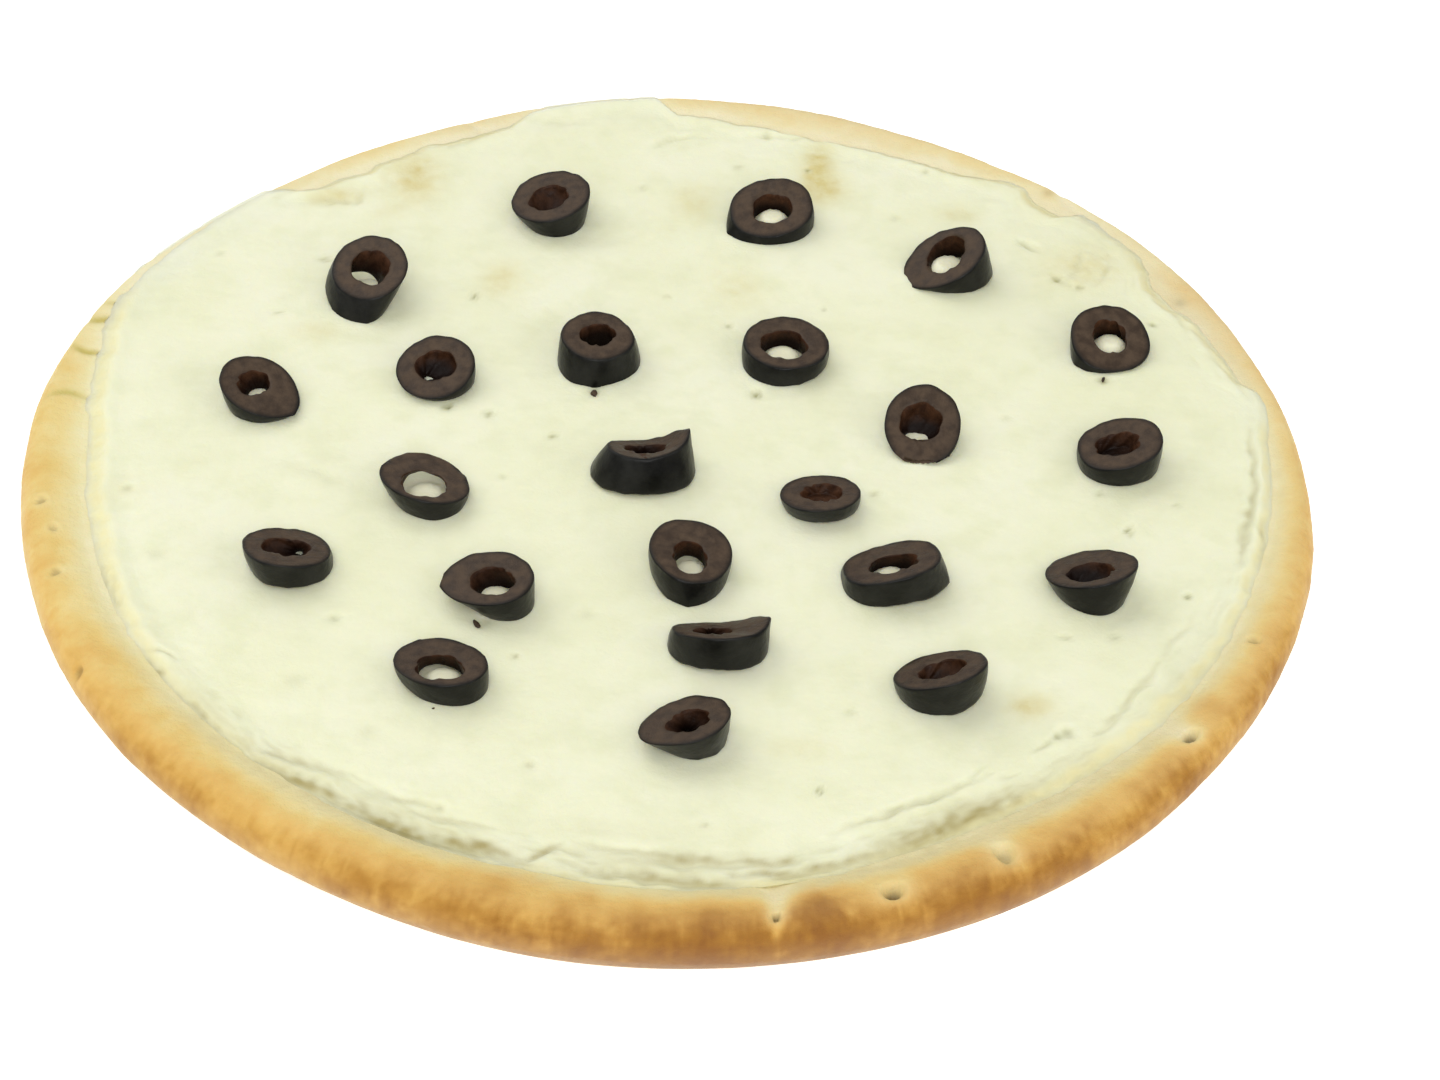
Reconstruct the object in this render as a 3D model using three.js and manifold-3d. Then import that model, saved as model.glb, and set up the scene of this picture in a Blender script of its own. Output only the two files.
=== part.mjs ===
// A labneh fatayer: a round flat bread with a raised, rolled rim, a thick layer of labneh
// spread up to that rim, and slices of black olive pressed into the labneh.
// Millimetres, +Z up. The origin is on the table, under the middle of the bread.

import * as THREE from 'three';
import { mergeVertices } from 'three/addons/utils/BufferGeometryUtils.js';
import Module from 'manifold-3d';

const wasm = await Module();
wasm.setup();

// ---- Driving dimensions ----

const BREAD_ACROSS = 249; // over the rim's bulge, on average
const CREST_HEIGHT = 10; // top of the rolled rim, on average
const CREST_SWING = 0.9; // the near side stands this much higher, the far side lower
const BULGE_HEIGHT = 4.4; // where the rim is widest
const UNDERCUT = 4; // the foot tucks in under the bulge
const FLOOR_HEIGHT = 5; // bread left under the labneh
const BED_RUN = 9; // slope from the labneh's edge down to the floor
const NARROWEST_RIM = 6;
const CREST_SHARE = 0.45; // crest's place across the rim, from outside
const RIM_DROP = 0.2; // the rim falls from its crest to the labneh's edge by this much
const RIM_FALL = 0.12; // and by this share of its width
const BROW_SHARE = 0.5; // the brow's place on the way from the crest to the labneh's edge
const BROW_FALL = 0.35; // and how much of that fall lies before it
const BED_SHARES = [0, 0.3, 0.6, 1]; // where the slope under the labneh has its points

const LABNEH_ACROSS = 229.4;
const LABNEH_HEIGHT = 9.5; // its level above the table
const SWELL = 0.25; // slow waves in its surface
const SWELL_LENGTHS = [17, 21]; // their run along X and Y for one radian
const SWELL_STARTS = [0.6, -0.4];
const LIP_RUN = 2.2; // rounding of its edge
const LIP_START = 20; // its lowest point's angle, in degrees above level
const SHOULDER = 0.1; // the rounding starts this far above the labneh's underside
const ROLL_RUN = 7; // from the edge to the groove inside the rolled lip
const ROLL_RISE = 0.35;
const ROLL_GROOVE = 0.4;
const LEVEL_SHARES = [0.87, 0.62, 0.31]; // rings of the open surface, as shares of the radius

const SEAT_DEPTH = 0.8; // how deep a slice's lowest point sinks in
const GAP = 0.3; // clearance between touching pieces
const SKIN_BULGE = 0.3; // the olive's outside swells between its two cuts
const BLIND_DEPTH = 0.55; // of the height, in a slice off the olive's closed end
const BORE_FOOT = 0.95; // the stone hole's width at the foot over its width at the face
const BORE_FLOOR = 0.7; // and at a blind hole's floor
const CORNER_TIGHTNESS = 6; // how narrow a drawn-out corner is

const SEGMENTS = 64;
const SLICE_SEGMENTS = 16;
const FOOT_STEPS = 3; // of the crust's tuck from the underside to the bulge
const WALL_STEPS = 5; // from the bulge to the crest
const LIP_STEPS = 3;
const SAME_POINT = 1e-5;

// The bread's outline and the labneh's edge are circles with a few waves on them:
// how many waves go round, how far they stand out, and the direction of one crest.
const OUTLINE_WAVES = [
  { count: 1, size: 0.6, at: -71 },
  { count: 2, size: 0.4, at: 28 },
  { count: 3, size: 0.8, at: 56 },
  { count: 4, size: 0.6, at: -5 },
  { count: 5, size: 0.5, at: 20 },
  { count: 6, size: 0.3, at: -23 },
  { count: 8, size: 0.3, at: -10 },
];
const LABNEH_WAVES = [
  { count: 1, size: 3.9, at: 84 },
  { count: 2, size: 1.1, at: -21 },
  { count: 3, size: 1.1, at: 24 },
  { count: 4, size: 0.4, at: -9 },
  { count: 5, size: 0.6, at: 16 },
  { count: 6, size: 1.1, at: -23 },
  { count: 7, size: 0.9, at: 0 },
  { count: 8, size: 0.65, at: 10 },
];

// The olive slices, from the far edge to the near one. at: middle of the foot; across: the
// upper cut's two widths; turn: how far those are turned; high: thickness; face and foot:
// slopes of the two cuts, right and away; taper: foot's width over the face's; lean: the
// foot's shift; bore and boreAt: the stone hole; peak: a corner that the face is drawn out
// to; toe: the same on the foot; saddle: rise of the face's two ends, left and right; boxy:
// how far the outline's quarters swell towards a box.
// Angles are in degrees, from +X towards +Y.
const SLICES = [
  { at: [-27, 76.5], across: [16.5, 16.5], turn: 30, high: 5.5, face: [0.2, 0.05], foot: [0, 0.1],
    taper: 0.72, lean: [1.1, -0.9], bore: [8.5, 7.5], boreAt: [-0.5, -0.3] },
  { at: [19, 76.5], across: [17, 14.5], turn: 5, high: 4.9, face: [0.1, 0.3], foot: [0, 0.05],
    taper: 1, lean: [0.3, 0.2], bore: [8, 7], boreAt: [0, -0.2], toe: { to: 212, out: 2 }, boxy: 0.05 },
  { at: [54.5, 61], across: [16, 14], turn: -10, high: 5, face: [0.55, 0.25], foot: [0.1, 0.05],
    taper: 0.97, lean: [2.5, 1], bore: [7.5, 8.5], boreAt: [0.2, 0.6], peak: { to: 215, out: 0.4, up: 0 } },
  { at: [-62, 48], across: [15, 16.5], turn: 30, high: 5.5, face: [0.15, 0.25], foot: [0, 0.3],
    taper: 0.9, lean: [-2.3, -0.2], bore: [7.5, 9], boreAt: [0.2, 0], toe: { to: 268, out: 3 } },
  { at: [87, 37.5], across: [16, 14], turn: 15, high: 4, face: [-0.15, 0.4], foot: [0.05, 0.1],
    taper: 0.93, lean: [0.4, 1], bore: [7, 7], boreAt: [0, 0.5], toe: { to: 228, out: 1.8 }, boxy: 0.04 },
  { at: [22, 31.5], across: [17, 15.5], turn: -10, high: 4.5, face: [0, 0.05], foot: [0.1, 0.05],
    taper: 1, lean: [0, 0], bore: [9.5, 8.5], boreAt: [-0.5, -0.5], toe: { to: 235, out: 1.3 } },
  { at: [-15.5, 29], across: [14, 14], turn: 35, high: 6.5, face: [-0.05, 0.05], foot: [0, 0.1],
    taper: 1.14, lean: [0.5, 0], bore: [7, 6], boreAt: [0, 0.3], toe: { to: 238, out: 1.3 }, boxy: 0.04 },
  { at: [-47, 21], across: [15.5, 14.5], turn: 10, high: 4, face: [0.1, 0.3], foot: [0.1, -0.05],
    taper: 0.85, lean: [1, 0], bore: [8, 7], boreAt: [0, 0.3] },
  { at: [-81, 13], across: [14.5, 15], turn: 55, high: 4.5, face: [-0.25, 0.15], foot: [0.05, -0.05],
    taper: 0.93, lean: [1, 0], bore: [7, 5.5], boreAt: [-0.8, 0.5], peak: { to: -35, out: 1.6, up: 0 } },
  { at: [48.5, 8], across: [15, 14.5], turn: -5, high: 4.5, face: [0.05, 0.6], foot: [0.1, -0.1],
    taper: 0.83, lean: [0.5, -0.5], bore: [8.5, 7], boreAt: [-0.5, 0.6] },
  { at: [86.5, 3], across: [16, 15], turn: 10, high: 5.5, face: [0.25, 0], foot: [0.05, -0.05],
    taper: 0.97, lean: [0.2, 0.5], bore: [8.5, 6.5], boreAt: [-0.5, 0], blind: true, boxy: 0.04 },
  { at: [-5, -4], across: [14.5, 11], turn: 3, high: 5.3, face: [0.08, -0.45], foot: [0, -0.1],
    taper: 1.4, lean: [-0.5, -0.5], bore: [8, 5], boreAt: [0, 0.5], saddle: 1.8,
    peak: { to: 32, out: 1.6, up: 1.7 }, boxy: 0.06 },
  { at: [-46.5, -14], across: [17.5, 14], turn: -20, high: 3.5, face: [-0.15, -0.15], foot: [-0.1, 0.3],
    taper: 0.95, lean: [0, 2], bore: [9, 8.5], boreAt: [0, -1.3], toe: { to: 278, out: 1.8 } },
  { at: [28.5, -12.5], across: [15.5, 13.5], turn: 10, high: 3.5, face: [0.05, -0.2], foot: [0.05, -0.1],
    taper: 0.92, lean: [0.5, 1], bore: [8.5, 6.5], boreAt: [0.3, 0.3], blind: true },
  { at: [-70.5, -34.5], across: [16, 15], turn: 20, high: 4.6, face: [-0.15, -0.3], foot: [0, -0.1],
    taper: 0.95, lean: [0.6, 0.7], bore: [9, 7], boreAt: [0, 0.3], toe: { to: 300, out: 0.8 }, boxy: 0.05 },
  { at: [4, -33], across: [15, 16.5], turn: 0, high: 5, face: [-0.2, 0.05], foot: [-0.1, 0.25],
    taper: 0.97, lean: [0, 0.8], bore: [6.5, 8], boreAt: [0, -1.6], peak: { to: 30, out: 0.8, up: 0.4 },
    toe: { to: 272, out: 1.9 } },
  { at: [41.5, -33], across: [17.5, 15], turn: 10, high: 4.7, face: [0.28, -0.3], foot: [0.1, -0.05],
    taper: 1.03, lean: [0, 0.3], bore: [9, 6.5], boreAt: [0.3, -0.6],
    toe: { to: -2, out: 1.8 }, boxy: 0.1 },
  { at: [78.5, -33.5], across: [17, 14.5], turn: -15, high: 6, face: [0.3, -0.3], foot: [0.05, 0.05],
    taper: 0.72, lean: [0.7, -0.9], bore: [9, 7], boreAt: [-0.5, -1], toe: { to: 270, out: 1 } },
  { at: [-32.5, -41.5], across: [17, 15], turn: -35, high: 5, face: [0.15, -0.05], foot: [-0.1, 0.1],
    taper: 0.68, lean: [2.5, -0.4], bore: [8.5, 7.5], boreAt: [0.5, -0.8],
    peak: { to: 195, out: 1.2, up: -0.4 } },
  { at: [9.5, -52.5], across: [16.5, 12], turn: -5, high: 4.4, face: [0.06, -0.62], foot: [0, -0.1],
    taper: 1.1, lean: [0, 0], bore: [7.5, 5.5], boreAt: [-1, 0.5], saddle: 0.6,
    peak: { to: 25, out: 1.5, up: 2 }, boxy: 0.05 },
  { at: [-40, -63.5], across: [17.5, 14], turn: -20, high: 4, face: [0.05, -0.15], foot: [-0.1, 0.15],
    taper: 0.96, lean: [0.3, 0.8], bore: [9, 7.5], boreAt: [0, -1.5], toe: { to: 300, out: 1.2 } },
  { at: [49.5, -62.5], across: [16.5, 14], turn: 0, high: 5.5, face: [0.35, -0.35], foot: [0.15, 0.1],
    taper: 0.92, lean: [0.5, 0.4], bore: [9, 6.5], boreAt: [0, 0.3] },
  { at: [4.5, -76.5], across: [15.5, 14.5], turn: 30, high: 5.5, face: [0.25, -0.2], foot: [0.05, -0.1],
    taper: 0.68, lean: [1.8, 0], bore: [8, 6.5], boreAt: [0, -0.3], peak: { to: 200, out: 1.6, up: -0.3 } },
];

// ---- Helpers ----

const radians = THREE.MathUtils.degToRad;

// Sum of the waves that go round the bread, at one angle.
function waveSum(waves, angle) {
  const heightOf = (wave) => wave.size * Math.cos(wave.count * (angle - radians(wave.at)));
  return waves.reduce((sum, wave) => sum + heightOf(wave), 0);
}

// Points of a quarter ellipse about a centre, from one angle to another, both ends included.
function arc(centre, across, high, from, to, steps) {
  const points = [];
  for (let i = 0; i <= steps; i += 1) {
    const angle = radians(THREE.MathUtils.lerp(from, to, i / steps));
    points.push(new THREE.Vector2(centre.x + across * Math.cos(angle), centre.y + high * Math.sin(angle)));
  }
  return points;
}

// Closed mesh data with shared corners and no collapsed triangles, as a solid.
function solid(geometry) {
  geometry.deleteAttribute('normal');
  geometry.deleteAttribute('uv');
  const merged = mergeVertices(geometry, SAME_POINT);
  const corners = merged.index.array;
  const kept = [];
  for (let i = 0; i < corners.length; i += 3) {
    const [a, b, c] = [corners[i], corners[i + 1], corners[i + 2]];
    if (a !== b && b !== c && c !== a) {
      kept.push(a, b, c);
    }
  }
  const mesh = new wasm.Mesh({
    numProp: 3,
    vertProperties: new Float32Array(merged.getAttribute('position').array),
    triVerts: new Uint32Array(kept),
  });
  return new wasm.Manifold(mesh);
}

// The triangles of a solid, for a mesh.
function geometryOf(body) {
  const mesh = body.getMesh();
  const geometry = new THREE.BufferGeometry();
  geometry.setAttribute('position', new THREE.BufferAttribute(mesh.vertProperties, 3));
  geometry.setIndex(new THREE.BufferAttribute(mesh.triVerts, 1));
  geometry.computeVertexNormals();
  return geometry;
}

// A lathe turning whose points are moved as the turn goes round: place(angle, index) gives
// a point's position, for each of the pointCount points of the section.
function turned(pointCount, segments, place) {
  const blank = Array.from({ length: pointCount }, (_, i) => new THREE.Vector2(1, i));
  const geometry = new THREE.LatheGeometry(blank, segments);
  const position = geometry.getAttribute('position');
  for (let step = 0; step <= segments; step += 1) {
    const angle = 2 * Math.PI * (step % segments) / segments;
    for (let i = 0; i < pointCount; i += 1) {
      const point = place(angle, i);
      position.setXYZ(step * pointCount + i, point.x, point.y, point.z);
    }
  }
  return solid(geometry);
}

// A lathe turning about the bread's upright axis, whose section changes with the angle.
function turnedAboutMiddle(sectionAt) {
  return turned(sectionAt(0).length, SEGMENTS, (angle, i) => {
    const point = sectionAt(angle)[i];
    return new THREE.Vector3(point.x * Math.cos(angle), point.x * Math.sin(angle), point.y);
  });
}

// ---- Bread ----

const outlineRadius = (angle) => BREAD_ACROSS / 2 + waveSum(OUTLINE_WAVES, angle);
const labnehRadius = (angle) => Math.min(
  LABNEH_ACROSS / 2 + waveSum(LABNEH_WAVES, angle),
  outlineRadius(angle) - NARROWEST_RIM,
);
const crestHeight = (angle) => CREST_HEIGHT - CREST_SWING * Math.sin(angle);

// Height of the bread where the labneh's edge lies on it.
function edgeHeight(angle) {
  const width = outlineRadius(angle) - labnehRadius(angle);
  return crestHeight(angle) - RIM_DROP - RIM_FALL * width;
}

// The bread's upper side under the labneh, from the labneh's edge in to the middle.
function bed(angle) {
  const edge = labnehRadius(angle);
  const rise = edgeHeight(angle) - FLOOR_HEIGHT;
  const points = [];
  for (const share of BED_SHARES) {
    const height = FLOOR_HEIGHT + rise * (1 + Math.cos(Math.PI * share)) / 2;
    points.push(new THREE.Vector2(edge - BED_RUN * share, height));
  }
  points.push(new THREE.Vector2(0, FLOOR_HEIGHT));
  return points;
}

function crustSection(angle) {
  const outer = outlineRadius(angle);
  const edge = labnehRadius(angle);
  const width = outer - edge;
  const crest = outer - CREST_SHARE * width;
  const top = crestHeight(angle);
  const foot = outer - UNDERCUT;
  const brow = crest - BROW_SHARE * (crest - edge);
  const browHeight = top - BROW_FALL * (top - edgeHeight(angle));
  const underCrest = new THREE.Vector2(crest, BULGE_HEIGHT);
  const wall = arc(underCrest, outer - crest, top - BULGE_HEIGHT, 0, 90, WALL_STEPS);
  return [
    new THREE.Vector2(0, 0),
    ...arc(new THREE.Vector2(foot, BULGE_HEIGHT), UNDERCUT, BULGE_HEIGHT, -90, 0, FOOT_STEPS),
    ...wall.slice(1),
    new THREE.Vector2(brow, browHeight),
    ...bed(angle),
  ];
}

// ---- Labneh ----

// Slow rise and fall of the spread surface.
const swell = (x, y) => SWELL * [x, y].reduce(
  (wave, run, i) => wave * Math.cos(run / SWELL_LENGTHS[i] + SWELL_STARTS[i]),
  1,
);

function labnehSection(angle) {
  const edge = labnehRadius(angle);
  const underside = bed(angle).reverse().map((point) => new THREE.Vector2(point.x, point.y + GAP));
  const shoulder = underside.at(-1).y + SHOULDER;
  const level = (radius) => LABNEH_HEIGHT + swell(radius * Math.cos(angle), radius * Math.sin(angle));
  const lipTop = level(edge) + ROLL_RISE;
  const groove = edge - ROLL_RUN;
  const underLip = new THREE.Vector2(edge - LIP_RUN, shoulder);
  return [
    ...underside,
    ...arc(underLip, LIP_RUN, lipTop - shoulder, LIP_START, 90, LIP_STEPS),
    new THREE.Vector2(groove, level(groove) - ROLL_GROOVE),
    ...LEVEL_SHARES.map((share) => new THREE.Vector2(edge * share, level(edge * share))),
    new THREE.Vector2(0, level(0)),
  ];
}

// ---- Olive slices ----

// A point of a slice's turned ellipse, drawn out towards a corner if it has one: the point,
// and how much of the corner's pull it feels. boxy swells all four quarters of the outline.
function ellipsePoint(width, depth, turn, angle, corner, boxy) {
  const [c, s] = [Math.cos(turn), Math.sin(turn)];
  const full = 1 + boxy * Math.sin(2 * angle) ** 2;
  const [u, v] = [(width / 2) * full * Math.cos(angle), (depth / 2) * full * Math.sin(angle)];
  const point = new THREE.Vector2(c * u - s * v, s * u + c * v);
  const away = corner ? Math.cos(angle + turn - radians(corner.to)) : 0;
  const pull = Math.max(0, away) ** CORNER_TIGHTNESS;
  if (corner) {
    point.setLength(point.length() + corner.out * pull);
  }
  return { point, pull };
}

// Height of a slice's foot above its own middle, so that its lowest point is at zero.
function footLift(slice) {
  const reach = (slice.across[0] + slice.across[1]) / 4 * slice.taper;
  const leaning = slice.foot[0] * slice.lean[0] + slice.foot[1] * slice.lean[1];
  return reach * Math.hypot(...slice.foot) - leaning;
}

// One slice about the middle of its foot. grow makes it larger all over; plug leaves the
// stone hole out.
function sliceSolid(slice, grow, plug) {
  const turn = radians(slice.turn);
  const lift = footLift(slice);
  const blind = slice.blind || plug;
  const slope = (cut, x, y) => cut[0] * x + cut[1] * y;

  const boxy = slice.boxy ?? 0;
  const onFace = (width, depth, offset, angle, corner, down) => {
    const { point, pull } = ellipsePoint(width, depth, turn, angle, corner, boxy);
    const raise = corner ? (corner.up ?? 0) * pull : 0;
    const [x, y] = [point.x + offset[0], point.y + offset[1]];
    const bend = (slice.saddle ?? 0) * (2 * x / slice.across[0]) ** 2;
    const height = lift + slice.high + slope(slice.face, x, y) + bend + raise + grow - down;
    return new THREE.Vector3(x, y, height);
  };
  const onFoot = (width, depth, offset, angle, corner) => {
    const { point } = ellipsePoint(width, depth, turn, angle, corner, boxy);
    const [x, y] = [point.x + offset[0], point.y + offset[1]];
    return new THREE.Vector3(x, y, lift + slope(slice.foot, x, y) - grow);
  };

  const [wide, deep] = slice.across.map((size) => size + 2 * grow);
  const rim = (angle) => onFace(wide, deep, [0, 0], angle, slice.peak, 0);
  const heel = (angle) => onFoot(wide * slice.taper, deep * slice.taper, slice.lean, angle, slice.toe);
  const side = (angle) => {
    const middle = rim(angle).lerp(heel(angle), 0.5);
    const outward = new THREE.Vector3(middle.x - slice.lean[0] / 2, middle.y - slice.lean[1] / 2, 0);
    return middle.addScaledVector(outward.normalize(), SKIN_BULGE);
  };
  const boreOffset = slice.boreAt.map((shift, i) => shift + slice.lean[i]);
  const boreTop = (angle) => onFace(slice.bore[0], slice.bore[1], slice.boreAt, angle, null, 0);
  const boreFoot = (angle) => onFoot(
    slice.bore[0] * BORE_FOOT, slice.bore[1] * BORE_FOOT, boreOffset, angle, null,
  );
  const blindDepth = slice.high * BLIND_DEPTH;
  const boreFloor = (angle) => onFace(
    slice.bore[0] * BORE_FLOOR, slice.bore[1] * BORE_FLOOR, slice.boreAt, angle, null, blindDepth,
  );
  const footMiddle = () => onFoot(0, 0, slice.lean, 0, null);
  const floorMiddle = () => onFace(0, 0, slice.boreAt, 0, null, blindDepth);
  const faceMiddle = () => onFace(0, 0, slice.boreAt, 0, null, 0);

  const open = [heel, side, rim, boreTop, boreFoot, heel];
  const closed = [footMiddle, heel, side, rim, boreTop, boreFloor, floorMiddle];
  const plugged = [footMiddle, heel, side, rim, faceMiddle];
  const section = plug ? plugged : (blind ? closed : open);
  return turned(section.length, SLICE_SEGMENTS, (angle, i) => section[i](angle));
}

// Where the middle of a slice's foot stands, its lowest point sunk into the labneh.
const sliceSpot = ({ at: [x, y] }) => new THREE.Vector3(x, y, LABNEH_HEIGHT - SEAT_DEPTH + swell(x, y));

// The labneh with a seat for each slice.
function seatedLabneh() {
  return SLICES.reduce((body, slice) => {
    const seat = sliceSolid(slice, GAP, true).translate(...sliceSpot(slice).toArray());
    return body.subtract(seat);
  }, turnedAboutMiddle(labnehSection));
}

// ---- The whole ----

const crustMaterial = new THREE.MeshStandardMaterial({ color: 0xe0b06a, roughness: 0.7, metalness: 0 });
const labnehMaterial = new THREE.MeshStandardMaterial({ color: 0xf0efd2, roughness: 0.4, metalness: 0 });
const oliveMaterial = new THREE.MeshStandardMaterial({ color: 0x3b3230, roughness: 0.35, metalness: 0 });

const bread = new THREE.Group();

function addPiece(name, body, material) {
  const piece = new THREE.Mesh(geometryOf(body), material);
  piece.name = name;
  bread.add(piece);
  return piece;
}

addPiece('crust', turnedAboutMiddle(crustSection), crustMaterial);
addPiece('labneh', seatedLabneh(), labnehMaterial);
SLICES.forEach((slice, i) => {
  const name = `olive_${String(i + 1).padStart(2, '0')}`;
  addPiece(name, sliceSolid(slice, 0, false), oliveMaterial).position.copy(sliceSpot(slice));
});

// The outline isn't quite even, so the bread is moved until its box is centred.
const middle = new THREE.Box3().setFromObject(bread).getCenter(new THREE.Vector3());
bread.position.set(-middle.x, -middle.y, 0);
bread.updateMatrixWorld(true);

export default bread;
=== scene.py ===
"""A labneh fatayer: a round flat bread with a rolled, browned rim, spread with labneh up to
that rim and set with slices of black olive.

Shapes are worked out in millimetres on the bread's own plan, whose origin is the middle that
the bread turns about, and are put in place in metres when they are finished."""

import math
import random

import bmesh
import bpy
import numpy as np
from mathutils import Matrix, Vector, noise
from mathutils.geometry import convex_hull_2d


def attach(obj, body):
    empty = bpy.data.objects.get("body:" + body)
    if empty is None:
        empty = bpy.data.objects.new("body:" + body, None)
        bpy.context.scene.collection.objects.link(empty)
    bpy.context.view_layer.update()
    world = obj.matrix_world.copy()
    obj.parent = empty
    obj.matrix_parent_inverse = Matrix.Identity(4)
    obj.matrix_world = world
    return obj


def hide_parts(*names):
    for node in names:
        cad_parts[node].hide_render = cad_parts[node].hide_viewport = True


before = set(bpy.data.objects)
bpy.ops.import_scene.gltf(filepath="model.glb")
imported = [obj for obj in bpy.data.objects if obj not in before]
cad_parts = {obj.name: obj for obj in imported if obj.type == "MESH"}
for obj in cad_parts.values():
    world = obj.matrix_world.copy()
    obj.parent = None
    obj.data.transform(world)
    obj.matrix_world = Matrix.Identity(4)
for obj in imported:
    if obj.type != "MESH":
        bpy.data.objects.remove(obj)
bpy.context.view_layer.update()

# ---- Driving dimensions, in millimetres ----

MM = 0.001
TOUCHING = 0.01  # points closer than this are one point
SECTIONS = 64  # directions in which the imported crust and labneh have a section
FULL_TURN = 2 * math.pi
SEED_STRIDE = 31.7  # how far apart the places lie where noise of one seed and the next is read

# The crust's section: from the middle of the underside out, up the wall, over the crest to
# the labneh's edge, and down under the labneh to the middle again.
FLOOR_HEIGHT = 5.0
FILLET_FLATNESS = 1.35  # 1 for a round fillet, more for one cut away towards a slope
BROW_CURVE = 0.6  # 0 for a straight slope from the crest to the labneh, 1 for a rounded one
LEDGE = 1.6  # level strip that the labneh's edge lies on
LEDGE_DROP = 0.1  # how far it lies under that edge
BED_RUN = 9.0
STRETCHES = (12, 8, 20, 20, 5, 2)  # steps on underside, fillet, wall, brow, bed and floor
UNDERSIDE, FILLET, WALL, BROW, BED, FLOOR = range(6)
CRUST_STEPS = 125  # round the rim, each then divided
STEP_CUTS = 9
RIM_LUMPS = ((0.36, 26.0, 1), (0.16, 8.0, 2), (0.06, 3.4, 5), (0.03, 1.5, 9))  # rise, size, seed
MOTTLES = ((0.1, 17.0, 7), (0.09, 7.0, 8))
SPECKLES = ((0.09, 2.2, 10), (0.06, 1.1, 12))
HOLE_RING, HOLE_RING_RISE, HOLE_SHADE = 1.7, 0.25, 0.8  # round a docking hole, and its middle, darkened with painted shade
HOLE_PALENESS, HOLE_PALEST = 0.32, 0.75
SPOT_DARKNESS = 0.25
STREAK_SHARE = 0.08
UNDERSIDE_DENTS = (0.22, 14.0, 6)
FIBRE_WIDTH, FIBRE_LENGTH, FIBRE_RISE = 1.1, 4.5, 0.06
DARKEST = 1.3  # the browning at which the crust's colours end

# The labneh.
LABNEH_HEIGHT = 9.5
SWELL, SWELL_LENGTHS, SWELL_SHIFTS = 0.25, (17, 21), (0.6, -0.4)
SPREAD_LUMPS = ((0.2, 38.0, 21), (0.14, 15.0, 22), (0.025, 2.6, 24))  # rise, size, seed
RINGS = 148  # from its middle to its edge
INNER_RINGS = 104
EDGE_BAND = 14.0  # width of the outer, finer rings
LIP_RINGS = 12
EDGE_WAVES = ((0.7, 0.085, 11), (0.4, 0.028, 12))  # rise, share of the radius, seed
FEATHER_WAVES = ((0.8, 0.05, 16), (0.4, 0.02, 17))
FURTHEST = 1.1  # how far past the crest its edge may reach
LIP_END = -12.0  # the lip tucks in under itself by this angle, in degrees
ROLL_AT, ROLL_WIDTH, ROLL_RISE = 3.2, 2.2, 0.3
GROOVE_AT, GROOVE_WIDTH, GROOVE_DEPTH = 7.2, 2.4, 0.3
SINK = 0.2  # how far its edge beds into the crust
# How far the lip stands clear of the crust at each share of its width, and at its end dips in.
LIP_CLEARANCE = {0: 0.25, 0.6: 0.12, 0.92: -0.04, 1: -3 * SINK}
TOAST_SPREAD, TOAST_STRENGTH = 1.15, 1.15
CRUMPLE_RISE = 0.17
# painted shade in the creases for each millimetre of depth, and the darkest the crevices' painted
# shade gets
CREASE_DARKNESS, DEEPEST_CREVICE = 0.46, 0.85
PIT_RING_RISE = 0.15  # for each millimetre of the pit's depth
TINT_REACH = 1.8  # how much wider than the rounded edge its yellow tint, with painted shade, is

# The olive slices.
SLICE_LEVELS = 3
SLICE_SIDES = 16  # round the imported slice; rounding takes some of its width off, which is made up
CORNER_SHARPNESS = 0.62
CORNER_ANGLE = math.radians(38)  # faces that turn by more meet at a corner
HULL_LIFT = 0.3  # a slice presses in the labneh with what lies lower than this above it
MENISCUS, MENISCUS_RUN = 0.28, 1.3  # how far the labneh rises against a slice, and within what
SKIN_LUMPS = ((0.22, 5.0, 0), (0.04, 1.2, 0))  # rise, size, what is added to the slice's number
FLESH_LUMPS = ((0.14, 3.2, 40), (0.05, 1.1, 40))
BORE_LUMPS = (0.12, 1.6, 80)
CUT_EDGE_LUMPS = (0.2, 2.2, 120)
SKIN_BAND = 0.55  # how far the skin's dark shows on the cut flesh
HOLE_DEPTH, RIB_RISE = 4.0, 0.12
HOLE_INSET = 1.8  # a slice's points further in than this are its stone hole's

# ---- What the photograph shows on the plan, in millimetres and degrees from +X ----

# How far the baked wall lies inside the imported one, and how far the crest there has sunk for
# each millimetre of that.
SHRUNK = {-170: 0.5, -10: 0.6, 5: 0.9, 15: 1.4, 45: 1.6, 58: 0.8, 82: 0.7, 95: 1.5, 112: 1.9,
          122: 1.3, 150: 2.3, 165: 1.5}
CREST_SINK = 0.3

# How wide the labneh's rounded edge is in each direction: crisp at the near left, feathered
# out over the crust at the near right.
LIP_RUNS = {-165: 5.5, -148: 4, -130: 1.6, -106: 1.2, -92: 1.5, -78: 1.7, -68: 2.8,
            -52: 4.2, -34: 5.5, -18: 3.8, 2: 3.2, 40: 4, 90: 3.8, 140: 4, 165: 5.5}

# How far the labneh is spread over the rim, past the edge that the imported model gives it.
SPILL = {-170: 0, -130: 0, -118: 0.8, -105: 0.9, -90: 0.6, -55: 0.5, -40: 0.2, -20: 0,
         6: 0, 9: 2.6, 13: 2.6, 15: 0, 25: 0, 28: -2, 33: -1, 36: 2.2, 45: 2.4,
         46.5: -1.2, 50: -1.2, 52: 1.8, 55: 1.2, 58: -1, 72: -0.8, 84: -1.2, 90.5: -1,
         93: 4.2, 106: 4.2, 109: -0.8, 115: -1.2, 118: 0.6, 120: -1, 133: -1.2, 135: 2,
         137: 4.2, 149: 4.8, 153: 4.2, 158: 2.2, 163: 0.6, 170: 0.3}

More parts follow.
